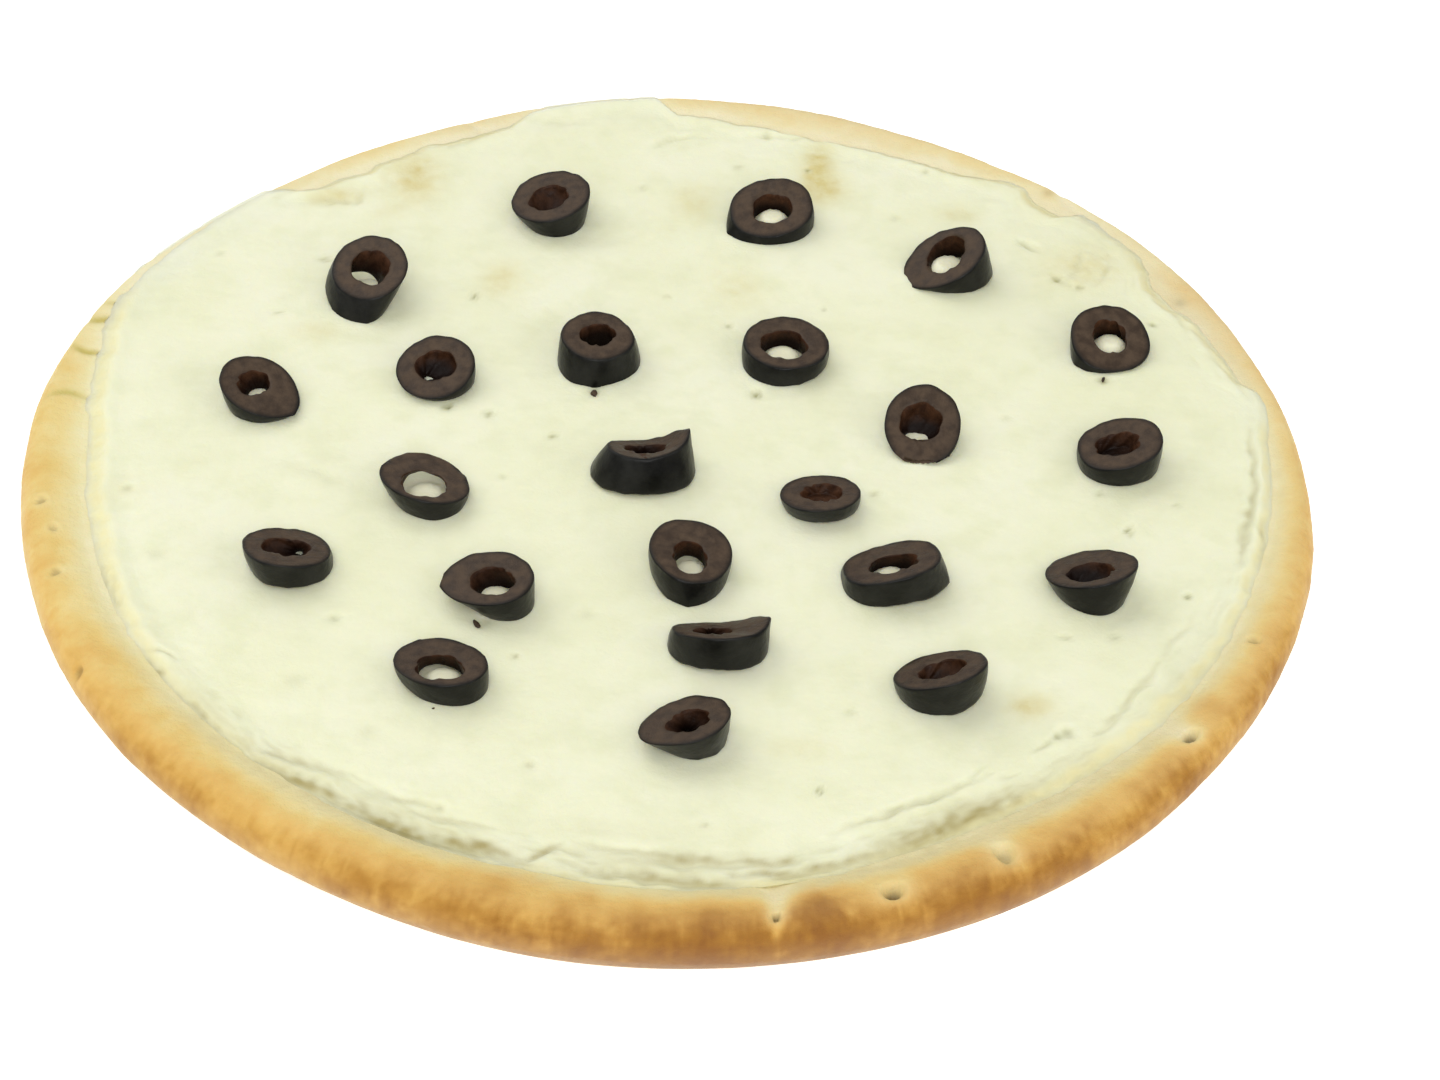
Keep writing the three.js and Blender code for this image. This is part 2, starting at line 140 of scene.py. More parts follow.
# How far the labneh's edge is feathered out over the crust, from rounded at 0 to a film at 1.
FEATHER = {-180: 1, -150: 0.95, -140: 0.4, -128: 0, -84: 0, -70: 0.45, -58: 1, -20: 1,
           -6: 0.8, 12: 0.9, 40: 0.95, 90: 0.95, 135: 0.9, 165: 1}

# How crumpled the band of labneh beside its edge is.
CRUMPLED = {-178: 0, -150: 0.3, -135: 0.8, -118: 1, -70: 1, -50: 0.8, -25: 0.5, 0: 0.35,
            30: 0.4, 60: 0.3, 90: 0.1, 178: 0}

# How much painted shade greys the crust beside the labneh, in the hollow where they meet.
BROW_SHADE = {-180: 0.1, -150: 0.35, -132: 0.75, -112: 0.95, -107: 0.55, -96: 0.5, -89: 0.75, -70: 0.9,
        -50: 0.95, -37: 0.6, -30: 0.35, -10: 0.45, 10: 0.5, 30: 0.5, 45: 0.3, 90: 0, 150: 0}

# How much flour is left on the rim.
FLOURED = {-175: 0, 0: 0.1, 12: 0.2, 26: 0.3, 36: 0.24, 58: 0.18, 72: 0.26, 90: 0.2, 113: 0.26,
           122: 0.14, 135: 0.2, 158: 0.1, 175: 0}

# How yellow the labneh's thin edge is in each direction, partly painted shade along it.
EDGE_TINT = {-180: 0, -155: 0.05, -140: 0.35, -128: 0.8, -100: 0.7, -80: 0.85, -60: 0.75,
             -48: 0.45, -30: 0.15, 0: 0.05, 20: 0.15, 60: 0.15, 80: 0.1, 95: 0, 108: 0,
             115: 0.1, 130: 0.1, 138: 0, 155: 0, 170: 0}

# How much of the rim's full browning each direction has.
BROWNING = {-180: 0.46, -160: 0.58, -140: 0.71, -120: 0.8, -108: 0.9, -97: 1.06, -84: 1.11,
            -66: 1.06, -52: 0.97, -38: 0.94, -20: 0.78, 0: 0.58, 14: 0.56, 28: 0.55,
            35: 0.24, 44: 0.22, 50: 0.34, 60: 0.38, 82: 0.42, 90: 0.36, 95: 0.08, 105: 0.06,
            110: 0.36, 122: 0.36, 134: 0.32, 140: 0.06, 154: 0.06, 162: 0.3, 172: 0.44}

# The same by station, from the underside over the wall and the crest to the labneh.
BROWNED_ACROSS = {0.9: 0.5, 1.12: 0.25, 1.45: 0.92, 2.3: 1.06, 2.5: 0.98, 2.8: 0.8, 3.0: 0.69,
                  3.2: 0.58, 3.5: 0.4, 3.8: 0.2, 4.0: 0.05}

# Stronger tongues of brown on the rim: direction, station, half widths in both, strength.
BROWN_TONGUES = (
    (-175, 3.2, 3, 0.5, 0.16), (-171, 3.6, 5, 0.4, 0.12), (-151, 3.1, 2.6, 0.5, 0.14),
    (-148, 3.6, 4.5, 0.4, 0.2), (-137, 3.6, 3, 0.4, 0.16), (-114, 2.5, 3, 0.3, 0.04),
    (-104, 3.2, 3.4, 0.4, 0.1), (-101, 3.65, 6.5, 0.4, 0.24), (-95.5, 3.4, 0.9, 0.4, 0.12),
    (-84.8, 3.1, 1.5, 0.45, 0.14), (-76, 3.2, 2.3, 0.6, 0.28), (-65, 2.7, 2.4, 0.3, 0.12),
    (-61, 3.4, 2, 0.35, 0.12), (-51, 2.9, 1.8, 0.4, 0.06), (-43, 2.9, 1.8, 0.35, 0.08),
    (-33.5, 3.65, 2.2, 0.55, 0.34), (-22, 3.2, 2.4, 0.5, 0.14), (4, 3.4, 4, 0.5, 0.16),
    (21, 3.6, 4, 0.5, 0.16), (31, 3.6, 3.5, 0.6, 0.34), (48.5, 3.5, 1.6, 0.6, 0.2),
    (61, 3.3, 5, 0.5, 0.14), (76, 3.3, 6, 0.5, 0.16), (86, 3.4, 4, 0.5, 0.14),
    (113, 3.4, 2.5, 0.5, 0.12), (127, 3.4, 5, 0.5, 0.12), (172, 3.5, 6, 0.5, 0.12),
)

# Holes pricked in the dough before baking: place, half sizes out from the middle and along
# the rim, depth, how dark the painted shade in the hole is.
DOCKING_HOLES = (
    ((94.3, -71.7), (1.3, 2), 1.8, 0.75), ((59.8, -102.4), (2.4, 1.8), 2, 0.45),
    ((40.3, -112), (1.7, 2), 2.6, 0.85), ((20.4, -118.6), (1.1, 0.9), 1.4, 0.75),
    ((108.1, -45.9), (1.5, 0.9), 0.8, 0.45), ((-112.9, -38.9), (1.4, 1.1), 0.8, 0.45),
    ((-115, -26.6), (1, 1.1), 0.6, 0.35), ((-118.7, -18.8), (1.4, 1.1), 0.8, 0.45),
    ((-105.3, -63.3), (1.1, 1.3), 0.8, 0.5),
)
# Small dark spots on the rim: place and size.
RIM_SPOTS = (((103, 56), 1.4), ((78, 92), 1.2))
# Grooves that run across or along the rim: half width at their start and end, depth, how pale
# or, below 0, how olive yellow, and points.
RIM_CREASES = (
    (3.4, 0.9, 0.85, 0.8, ((20.5, -108.5), (20.6, -114), (20.2, -121.5))),
    (2.6, 1.4, 0.15, 0.7, ((90, -68.6), (92.2, -70.2), (95, -72))),
    (2.4, 1.6, 0.15, 0.5, ((57.2, -98.2), (58.4, -100.2), (60, -103))),
    (0.7, 0.9, 0.3, -0.9, ((-122, 12.5), (-118.5, 13.8), (-115, 13.4))),
    (0.9, 0.7, 0.35, -1.1, ((-119.5, 28.5), (-116.5, 27), (-113.5, 27.8))),
    (1, 0.8, 0.3, -1.1, ((-118, 36.8), (-115.5, 37.2), (-111.5, 38.4))),
    (0.7, 0.7, 0.2, -0.6, ((-115.5, 42.5), (-112.5, 43), (-109.5, 44.2))),
    (1, 1, 0.3, 0.4, ((-46, 111), (-43, 107.5), (-40, 106.5))),
    (1, 1, 0.3, 0.4, ((80, 95), (81, 90), (84, 86))),
)

# Folds and scores in the labneh: half width, depth, rise of the side away from the middle,
# points.
LABNEH_CREASES = (
    # along its edge
    (0.7, 0.5, 0.3, ((-105, -36), (-103, -43), (-100.5, -50))),
    (0.6, 0.4, 0.25, ((-102.5, -38), (-101, -44), (-98.5, -48.5))),
    (0.6, 0.4, 0.2, ((-94, -58), (-91, -58.5), (-88, -60))),
    (1, 1, 0.35, ((-93.5, -59.5), (-91, -63.5), (-88.5, -67))),
    (0.8, 0.5, 0.3, ((-88, -67.5), (-84, -71.5), (-80, -76), (-76, -80))),
    (0.8, 0.5, 0.3, ((-72, -82), (-66, -84), (-59, -86.5), (-54, -88))),
    (1.2, 1.2, 0.3, ((-71, -85.5), (-66, -88), (-60, -91.3), (-54, -95.5))),
    (1.9, 1.6, 0.3, ((-53, -96.5), (-47, -99.3), (-42.5, -102), (-39, -104.5))),
    (0.8, 0.5, 0.3, ((-50, -91.5), (-44, -93.5), (-38, -94.8))),
    (0.8, 0.5, 0.3, ((-42, -96.5), (-36, -98), (-29, -99.5))),
    (1.9, 1, 0.2, ((-39.5, -102.5), (-33, -103.5), (-28, -105), (-24, -107))),
    (0.9, 1.2, 0.3, ((-22, -106.5), (-20, -105), (-17, -102.5))),
    (0.9, 0.5, 0.3, ((-13, -102.5), (-6, -103.5), (0, -104.3))),
    (1.5, 1.3, 0.3, ((-12, -109), (-3, -109.8), (5, -110.5), (13, -110.8))),
    (1.6, 0.8, 0.25, ((-2, -104.8), (5, -105.2), (12, -105.8))),
    (1.3, 1.1, 0.3, ((14.5, -105), (19, -105.2), (24, -104))),
    (1.1, 1, 0.35, ((13, -108.5), (22, -107.8), (28, -106.3), (34, -104), (38, -101.5))),
    (3.4, 1, 0, ((36, -103.5), (44, -98.5), (52, -93.5), (61, -88.8), (67, -85.5))),
    (0.8, 0.5, 0.3, ((30, -97.5), (40, -92.5), (50, -87), (58, -82.5))),
    (0.7, 0.5, 0.15, ((37, -94.5), (40, -93.2), (43.5, -91))),
    (0.7, 0.5, 0.15, ((45, -89.5), (47, -88.8), (49, -87.8))),
    (0.5, 0.25, 0.15, ((54, -84.2), (55.5, -82.4), (57, -81))),
    (0.5, 0.25, 0.15, ((60, -83.2), (63, -82))),
    (0.9, 1, 0.2, ((77, -81.5), (77.4, -83.8), (77, -86))),
    (0.7, 0.7, 0.35, ((78, -71), (81, -67), (84, -62), (87, -57), (90, -52))),
    (0.8, 0.22, 0.15, ((90, -52), (94.5, -45), (98, -38))),
    (0.5, 0.35, 0.15, ((66, -76.2), (68, -74.8), (70, -73))),
    (0.9, 0.7, 0.35, ((113.5, 15), (113, 5), (112, -5), (109.5, -14), (108, -24))),
    (0.9, 0.6, 0.2, ((113, -12), (112.5, -18), (111, -25))),
    # towards the far edge
    (1.2, 0.35, 0.2, ((-77, 79), (-72, 79.5), (-68, 79), (-66.5, 84))),
    (0.9, 0.3, 0.25, ((-84, 80), (-74, 86), (-66, 91), (-60, 97))),
    (0.9, 0.25, 0.2, ((-54, 99), (-46, 101.5), (-41, 107))),
    (1.4, 0.2, 0.15, ((-35, 111.5), (-28, 110.5), (-20, 111))),
    (0.8, 0.3, 0.2, ((-7, 102), (-3, 105), (4, 107.5))),
    (0.9, 0.25, 0.2, ((5, 114.5), (18, 113), (31, 110))),
    (0.8, 0.25, 0.15, ((14, 108), (22, 107.5), (29, 108.5))),
    (0.8, 0.3, 0.25, ((33, 109), (45, 106), (58, 99.5), (70, 93))),
    (0.8, 0.3, 0.2, ((76, 64), (78.5, 60.5), (82, 57.5))),
    (0.8, 0.3, 0.2, ((80, 61), (83, 66), (84, 72))),
    (0.8, 0.3, 0.2, ((86, 60), (88.5, 64.5), (89.5, 70))),
    (0.8, 0.9, 0.2, ((70.5, 74), (72.5, 72.8), (74.5, 71))),
    (0.8, 0.3, 0.3, ((96, 64), (98, 57), (102, 50), (108, 42))),
    (0.7, 0.25, 0.2, ((107, 38), (111, 32), (114, 24))),
    # out on the spread
    (1.6, 0.18, 0.1, ((-76, -4), (-68, -7.5), (-60, -12))),
    (0.5, 0.6, 0, ((87, -14), (87.2, -18))),
    (2, 0.16, 0.1, ((-30, 70), (-20, 68.5), (-8, 70.5))),
)

# Small pits in the labneh: place, radius, depth, how dark.
PITS = (
    ((-60.5, -48.5), 1.2, 0.35, 0.35), ((-27, -56.5), 0.8, 0.4, 0.5),
    ((-23, -84), 1.1, 0.35, 0.3), ((28, -88), 0.8, 0.7, 1),
    ((33.5, -68), 1.2, 0.25, 0.2), ((73.5, -46.5), 0.8, 0.4, 0.4),
    ((82.5, -46), 1, 0.3, 0.3), ((97, -34), 0.8, 0.6, 0.8),
    ((108.5, -44), 1, 0.4, 0.3), ((8, -97), 0.9, 0.3, 0.3),
    ((-38, -95), 0.9, 0.35, 0.3), ((72.3, -71.2), 1.3, 0.8, 0.55),
    ((70.6, -72.2), 0.8, 0.5, 0.5), ((-36, 11.5), 1.2, 0.35, 0.6),
    ((-23, 5.5), 0.9, 0.4, 0.75), ((-41, 48.5), 1.1, 0.4, 0.7),
    ((-80, 41), 0.9, 0.3, 0.35), ((-94, 60), 1, 0.25, 0.25),
    ((-2, 51), 0.9, 0.25, 0.3), ((-103, -14), 1.2, 0.3, 0.3),
    ((-32, -7), 1, 0.25, 0.25), ((39, -8), 1.2, 0.25, 0.4),
    ((65.5, 16), 1.2, 0.2, 0.2), ((82.5, -6), 1, 0.25, 0.3),
    ((10.5, 42), 0.9, 0.3, 0.45), ((30, 48.5), 0.7, 0.3, 0.45),
    ((16.5, 20.5), 1.1, 0.3, 0.5), ((96.8, 47.5), 0.9, 0.45, 0.6),
    ((18, 108), 1.2, 0.3, 0.35), ((12, 96.5), 1.2, 0.25, 0.3),
    ((45, 80), 1.3, 0.2, 0.2), ((52, 97), 1, 0.3, 0.3),
    ((78, 61.3), 0.9, 0.4, 0.7), ((82.6, 58.6), 0.8, 0.35, 0.6),
    ((27, 96), 0.8, 0.4, 0.8), ((87.1, -16.2), 0.7, 0.3, 0.6),
    ((97, -8.5), 0.9, 0.25, 0.3), ((-52, -77), 2, 0.2, 0.15),
    ((-66, -65), 2.4, 0.2, 0.15), ((-95, -32), 2, 0.2, 0.15),
    ((-14.5, -44.5), 1.6, 0.2, 0.15), ((-8, 88), 1.2, 0.2, 0.25),
    ((-44.2, 13.5), 1.1, 0.6, 0.8), ((-72.3, 59), 1.2, 0.4, 0.55),
    ((16.5, 21), 1.3, 0.4, 0.45), ((-33, -47.5), 1.6, 0.3, 0.35),
    ((-15.6, 19.5), 1.5, 0.4, 0.4), ((85.4, 28.8), 1.4, 0.4, 0.45),
)

# Where the spread lies lower, darkened with painted shade: place, half sizes, turn, depth, how dark.
HOLLOWS = (
    ((52, -94), (17, 4.5), 32, 0.4, 0.12), ((-33, -103.5), (8, 2.8), -12, 0.3, 0.26),
    ((2, -106.5), (22, 2.6), 0, 0.25, 0.22), ((-47, -97), (11, 3), -26, 0.3, 0.22),
    ((-64, -86), (10, 3), -32, 0.25, 0.2), ((76, -80), (6, 4), 40, 0.25, 0.16),
    ((-10, -99), (24, 3), -3, 0.2, 0.08), ((-82, -72), (9, 2.4), -47, 0.2, 0.16),
    ((95, -56), (14, 4), 62, 0.3, 0.1), ((-104, -40), (10, 2.2), -66, 0.2, 0.12),
)

# Patches where the labneh has caught the heat: place, half sizes, turn, how strong.
TOASTED = (
    ((-56.5, 89), (4.6, 7.4), 8, 0.8), ((-72, 80.8), (5, 2.4), 10, 0.55),
    ((-46, 105), (5.5, 2), 12, 0.5), ((29, 98), (2.8, 6.5), -5, 0.85),
    ((30, 89.5), (4.2, 4.6), 0, 0.8), ((3, 83.5), (4, 6), 0, 0.35),
    ((-36, 54.5), (3.6, 5), -15, 0.45), ((-72, 35.5), (4, 2.8), 0, 0.3),
    ((12.5, 54), (4.5, 6), 20, 0.28), ((58, 82), (3.4, 2.6), 0, 0.35),
    ((84, 66), (8, 6), 25, 0.42), ((66, -65), (3.6, 2.8), 15, 0.62),
    ((25, -77.5), (5, 2.6), 0, 0.2), ((-60, 76), (3.5, 2.5), 30, 0.25),
    ((78.5, 88), (4, 4), -40, 0.4), ((-105, -16), (6, 3), 20, 0.15),
    ((-52.5, 104), (3, 3), 0, 0.3), ((60, 99), (10, 2.4), -30, 0.3),
    ((20, 112.5), (14, 2), -8, 0.3), ((99, 66), (3, 8), 28, 0.4),
)

# Where the spread is wrinkled: place, half sizes, turn, relief.
WRINKLED = (
    ((84, 65), (12, 9), 30, 0.22), ((28, 102), (14, 10), -10, 0.14),
    ((-62, 88), (14, 9), 40, 0.16), ((50, -92), (22, 7), 25, 0.12),
    ((-50, -88), (24, 7), -22, 0.1), ((0, -103), (26, 6), 0, 0.1),
    ((98, -50), (9, 16), -25, 0.12), ((60, 90), (22, 8), -30, 0.1),
)

# Crumbs of olive lying on the labneh: place, length, width, turn.
OLIVE_CRUMBS = (
    ((-34.5, -48.6), 2.4, 1, -60), ((-15.6, 18.6), 2, 1.3, 90),
    ((85.4, 28.8), 1.7, 0.6, 75), ((-40.8, -70.9), 0.7, 0.45, 20),
)


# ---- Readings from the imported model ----

def read(items, field, width=1):
    """A field of a mesh's items, as a row of numbers for each."""
    flat = np.empty(width * len(items), np.float32)
    items.foreach_get(field, flat)
    return flat.reshape(-1, width).astype(float)


def points_of(mesh):
    return read(mesh.vertices, "co", 3)


def corners(node):
    """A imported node's corners in millimetres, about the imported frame's origin."""
    return points_of(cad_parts[node].data) / MM


def turning_centre():
    """Where the underside has its pole: the middle that the bread turns about."""
    crust = corners("crust")
    underside = crust[crust[:, 2] < TOUCHING][:, :2]
    away = np.hypot(*(underside - underside.mean(0)).T)
    return underside[away.argmin()]


CENTRE = turning_centre()
SETTLE = Matrix.Scale(MM, 4) @ Matrix.Translation((*CENTRE, 0))


def on_plan(node):
    """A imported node's corners in millimetres, about the turning centre."""
    return corners(node) - (*CENTRE, 0)


def by_section(points):
    """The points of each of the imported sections, the middle's left out."""
    radius = np.hypot(points[:, 0], points[:, 1])
    points = points[radius > FLOOR_HEIGHT]
    turn = np.arctan2(points[:, 1], points[:, 0]) / FULL_TURN
    section = np.rint(turn * SECTIONS).astype(int) % SECTIONS
    return [points[section == i] for i in range(SECTIONS)]


def radii(points):
    return np.hypot(points[:, 0], points[:, 1])


def round_curve(values, waves=24):
    """The smooth closed curve through values read at even steps of a turn."""
    terms = np.fft.rfft(values)[:waves] / len(values)
    counts = np.arange(1, waves)

    def at(direction):
        turns = np.multiply.outer(direction, counts)
        return terms[0].real + 2 * (np.cos(turns) @ terms[1:].real - np.sin(turns) @ terms[1:].imag)

    return at


crust_sections = by_section(on_plan("crust"))
labneh_sections = by_section(on_plan("labneh"))
outer_radius = round_curve([radii(s).max() for s in crust_sections])
crest_radius = round_curve([radii(s)[s[:, 2].argmax()] for s in crust_sections])
crest_height = round_curve([s[:, 2].max() for s in crust_sections])
edge_radius = round_curve([radii(s).max() for s in labneh_sections])
bulge_height = np.median([s[radii(s).argmax(), 2] for s in crust_sections])
foot_radius = round_curve([radii(s[s[:, 2] < TOUCHING]).max() for s in crust_sections])
edge_height = round_curve([
    s[np.abs(radii(s) - edge_radius(FULL_TURN * i / SECTIONS)).argmin(), 2]
    for i, s in enumerate(crust_sections)
])


# ---- Helpers for shapes ----

def bumps(points, size, seed):
    """Noise between about -1 and 1 at each point, its lumps about as wide as size."""
    return np.array([noise.noise(p) for p in (points / size + SEED_STRIDE * seed).tolist()])


def layered(points, *layers, more=0):
    """Bumps of several sizes added up: the rise, size and seed of each. more is added to the
    seeds."""
    return sum(rise * bumps(points, size, seed + more) for rise, size, seed in layers)


def by_direction(table, direction):
    """A value given for some directions in degrees, at every direction in radians."""
    return np.interp(np.degrees(direction), list(table), list(table.values()), period=360)


def smooth(low, high, value):
    """0 below low, 1 above high, and a smooth step between."""
    share = np.clip((value - low) / (high - low), 0, 1)
    return share * share * (3 - 2 * share)


def hump(distance, width):
    return np.exp(-(distance / width) ** 2)


def apart(plan, place):
    """Distance of each plan point from a place."""
    return np.hypot(*(plan - place).T)


def angle_from(start, angle):
    """The angle from one direction to others, at most half a turn either way."""
    return np.angle(np.exp(1j * (angle - start)))


def faded_ends(share, end):
    """1 along the middle of a line, and less towards both its ends."""
    return np.sin(math.pi * np.clip(share, end, 1 - end)) ** 0.5


def round_ring(direction, third=0):
    """Points round a circle of radius 1, so that noise read there meets itself."""
    return np.column_stack([np.cos(direction), np.sin(direction), third + 0 * direction])


def on_circle(direction, radius, height):
    return np.column_stack([radius * np.cos(direction), radius * np.sin(direction), height])


def along_step(plan, start, step):
    """How far along a straight step each plan point lies, within its ends, and how far off."""
    length = np.hypot(*step)
    from_start = plan - start
    run = np.clip(from_start @ step / length, 0, length)
    return run, np.hypot(*(from_start - np.outer(run, step / length)).T)


def curve_through(points, steps=6):
    """Points along a smooth curve through the ones given."""
    ends = [points[0], *points, points[-1]]
    line = []
    for before, start, stop, after in zip(ends, ends[1:], ends[2:], ends[3:]):
        for share in np.arange(steps) / steps:
            near = 2 * start + (stop - before) * share
            bend = (2 * before - 5 * start + 4 * stop - after) * share ** 2
            turn = (3 * start - before - 3 * stop + after) * share ** 3
            line.append((near + bend + turn) / 2)
    return np.array([*line, points[-1]])


def from_line(plan, points, reach):
    """Which plan points lie within reach of a curve, and for those the distance, positive
    away from the bread's middle, and the share of the curve's length."""
    line = curve_through([np.array(p, float) for p in points])
    near = np.flatnonzero(((plan > line.min(0) - reach) & (plan < line.max(0) + reach)).all(1))
    best = np.full(len(near), 2.0 * reach)
    side = np.zeros(len(near))
    share = np.zeros(len(near))
    begun = np.concatenate([[0], np.hypot(*np.diff(line, axis=0).T).cumsum()])
    for start, stop, reached in zip(line, line[1:], begun):
        step = stop - start
        run, away = along_step(plan[near], start, step)
        across = np.array([step[1], -step[0]])
        if across @ start < 0:
            across = -across
        closer = away < best
        best[closer] = away[closer]
        side[closer] = np.sign((plan[near][closer] - start) @ across)
        share[closer] = (reached + run[closer]) / begun[-1]
    kept = best < reach
    return near[kept], (best * side)[kept], share[kept]


def in_patch(plan, place, halves, turn):
    """1 at the middle of an oval patch, fading to 0 outside it."""
    c = math.cos(math.radians(turn))
    s = math.sin(math.radians(turn))
    x, y = (plan - place).T
    along = (c * x + s * y) / halves[0]
    across = (c * y - s * x) / halves[1]
    return np.exp(-(along ** 2 + across ** 2))


def put_points(mesh, points):
    mesh.vertices.foreach_set("co", points.astype(np.float32).ravel())
    mesh.update()


def normals_of(mesh):
    return read(mesh.vertex_normals, "vector", 3)


def put_masks(mesh, masks):
    """Values from 0 to 1 at every point of the mesh, under the names its material reads."""
    for name, values in masks.items():
        mask = mesh.attributes.new(name, "FLOAT", "POINT")
        mask.data.foreach_set("value", np.clip(values, 0, 1).astype(np.float32))


def mesh_from(shape, name):
    """The shape as a smooth-shaded mesh, and the shape is done with."""
    mesh = bpy.data.meshes.new(name)
    shape.to_mesh(mesh)
    shape.free()
    mesh.shade_smooth()
    return mesh


def add_piece(mesh, finishes, replaced=()):
    """Puts a mesh worked out on the plan in place, as a piece of the fatayer."""
    mesh.transform(SETTLE)
    piece = bpy.data.objects.new(mesh.name, mesh)
    bpy.context.scene.collection.objects.link(piece)
    for finish in finishes:
        mesh.materials.append(finish)
    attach(piece, "root")
    if replaced:
        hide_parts(*replaced)
    return piece


# ---- Helpers for materials ----

def paint(red, green, blue):
    """A colour as a screen shows it, from 0 to 255, in the renderer's own measure."""
    linear = [((c / 255 + 0.055) / 1.055) ** 2.4 if c > 10 else c / 255 / 12.92
              for c in (red, green, blue)]
    return (*linear, 1)


def add(tree, kind, inputs=(), **settings):
    """A node with its settings, and its inputs given a value or the socket that feeds them."""
    made = tree.nodes.new("ShaderNode" + kind)
    for name, value in settings.items():
        setattr(made, name, value)
    for name, value in dict(inputs).items():
        if isinstance(value, bpy.types.NodeSocket):
            tree.links.new(value, made.inputs[name])
        else:
            made.inputs[name].default_value = value
    return made


def mixed(tree, share, low, high):
    """Two colours mixed by a share."""
    made = add(tree, "Mix", {0: share, 6: low, 7: high}, data_type="RGBA")
    return made.outputs[2]


def maths(tree, operation, *values):
    return add(tree, "Math", dict(enumerate(values)), operation=operation).outputs[0]


def ranged(tree, value, low, high, to_low=0.0, to_high=1.0):
    """A value taken from one range to another, smoothly and no further."""
    inputs = {"Value": value, "From Min": low, "From Max": high, "To Min": to_low, "To Max": to_high}
    return add(tree, "MapRange", inputs, interpolation_type="SMOOTHSTEP").outputs["Result"]


def ramp(tree, share, stops):
    """A run of colours along a share from 0 to 1."""
    made = add(tree, "ValToRGB", {"Fac": share})
    colours = made.color_ramp.elements
    while len(colours) < len(stops):
        colours.new(0.5)
    for stop, (place, colour) in zip(colours, stops):
        stop.position = place
        stop.color = colour
    return made.outputs["Color"]


def mask_of(tree, name):
    return add(tree, "Attribute", attribute_name=name).outputs["Fac"]


def group(name, result, **numbers):
    """A node group that takes a position and some numbers and puts out one: its tree, and the
    sockets inside it."""
    tree = bpy.data.node_groups.new(name, "ShaderNodeTree")
    tree.interface.new_socket("Position", in_out="INPUT", socket_type="NodeSocketVector")
    for label, value in numbers.items():
        socket = tree.interface.new_socket(label, in_out="INPUT", socket_type="NodeSocketFloat")
        socket.default_value = value
    tree.interface.new_socket(result, in_out="OUTPUT", socket_type="NodeSocketFloat")
    return tree, tree.nodes.new("NodeGroupInput").outputs, tree.nodes.new("NodeGroupOutput").inputs


def noise_of(tree, position, scale, detail, roughness):
    inputs = {"Vector": position, "Scale": scale, "Detail": detail, "Roughness": roughness}
    return add(tree, "TexNoise", inputs).outputs["Fac"]


def blotches_group():
    """Soft-edged blotches of one size: a mask from 0 to 1."""
    tree, taken, given = group("blotches", "Mask", Size=0.01, Cover=0.5, Softness=0.1)
    scale = maths(tree, "DIVIDE", 1.0, taken["Size"])
    grain = noise_of(tree, taken["Position"], scale, 4.0, 0.55)
    bare = maths(tree, "SUBTRACT", 1.0, taken["Cover"])
    low = maths(tree, "SUBTRACT", bare, taken["Softness"])
    high = maths(tree, "ADD", bare, taken["Softness"])
    tree.links.new(ranged(tree, grain, low, high), given["Mask"])
    return tree


def grain_group():
    """Fine relief of two sizes, as a height from 0 to 1."""
    tree, taken, given = group("fine_grain", "Height", Size=0.001, Fineness=3.0)
    scale = maths(tree, "DIVIDE", 1.0, taken["Size"])
    finer = maths(tree, "MULTIPLY", scale, taken["Fineness"])
    broad = noise_of(tree, taken["Position"], scale, 3.0, 0.5)
    small = noise_of(tree, taken["Position"], finer, 2.0, 0.5)
    tree.links.new(maths(tree, "MULTIPLY_ADD", small, 0.4, broad), given["Height"])
    return tree


BLOTCHES = blotches_group()
GRAIN = grain_group()


def blotched(tree, position, size, cover, softness):
    inputs = {"Position": position, "Size": size, "Cover": cover, "Softness": softness}
    return add(tree, "Group", inputs, node_tree=BLOTCHES).outputs[0]


def finish_called(name):
    """A new material's tree, its Principled node, and the position on the piece."""
    finish = bpy.data.materials.new(name)
    finish.use_nodes = True
    tree = finish.node_tree
    position = add(tree, "TexCoord").outputs["Object"]
    return finish, tree, tree.nodes["Principled BSDF"], position


def tinted(tree, colour, *masks):
    """The colour with others laid over it, each where the mask of its name says."""
    for name, tint in masks:
        colour = mixed(tree, mask_of(tree, name), colour, paint(*tint))
    return colour


def put_surface(tree, shader, position, colour, rough, grain, specular):
    """Colour, roughness and fine relief on the shader. grain is its size, how much finer its
    second layer is, and its depth, in metres."""
    size, fineness, depth = grain
    inputs = {"Position": position, "Size": size, "Fineness": fineness}
    height = add(tree, "Group", inputs, node_tree=GRAIN)
    relief = add(tree, "Bump", {"Height": height.outputs[0], "Distance": depth, "Strength": 1.0})
    tree.links.new(colour, shader.inputs["Base Color"])
    tree.links.new(rough, shader.inputs["Roughness"])
    tree.links.new(relief.outputs["Normal"], shader.inputs["Normal"])
    shader.inputs["Specular IOR Level"].default_value = specular


def put_glow(shader, weight, radius, scale):
    """Light that goes in under the surface and comes out again nearby."""
    shader.inputs["Subsurface Weight"].default_value = weight
    shader.inputs["Subsurface Radius"].default_value = radius
    shader.inputs["Subsurface Scale"].default_value = scale


# ---- Crust ----

def crust_stations():
    """How far along the section each of its points is: stretch number plus share of it."""
    stations = []
    for stretch, steps in enumerate(STRETCHES):
        stations += [stretch + step / steps for step in range(steps)]
    return [*stations, len(STRETCHES)]


def crest_top(direction):
    return crest_height(direction) - CREST_SINK * by_direction(SHRUNK, direction)


def rim_height(direction, radius):
    """Height of the crust's upper side between its crest and the labneh."""
    crest = crest_radius(direction)
    share = np.clip((crest - radius) / (crest - edge_radius(direction)), 0, 1)
    top = crest_top(direction)
    fall = top - edge_height(direction)
    return top - fall * share * (1 - BROW_CURVE + BROW_CURVE * share)


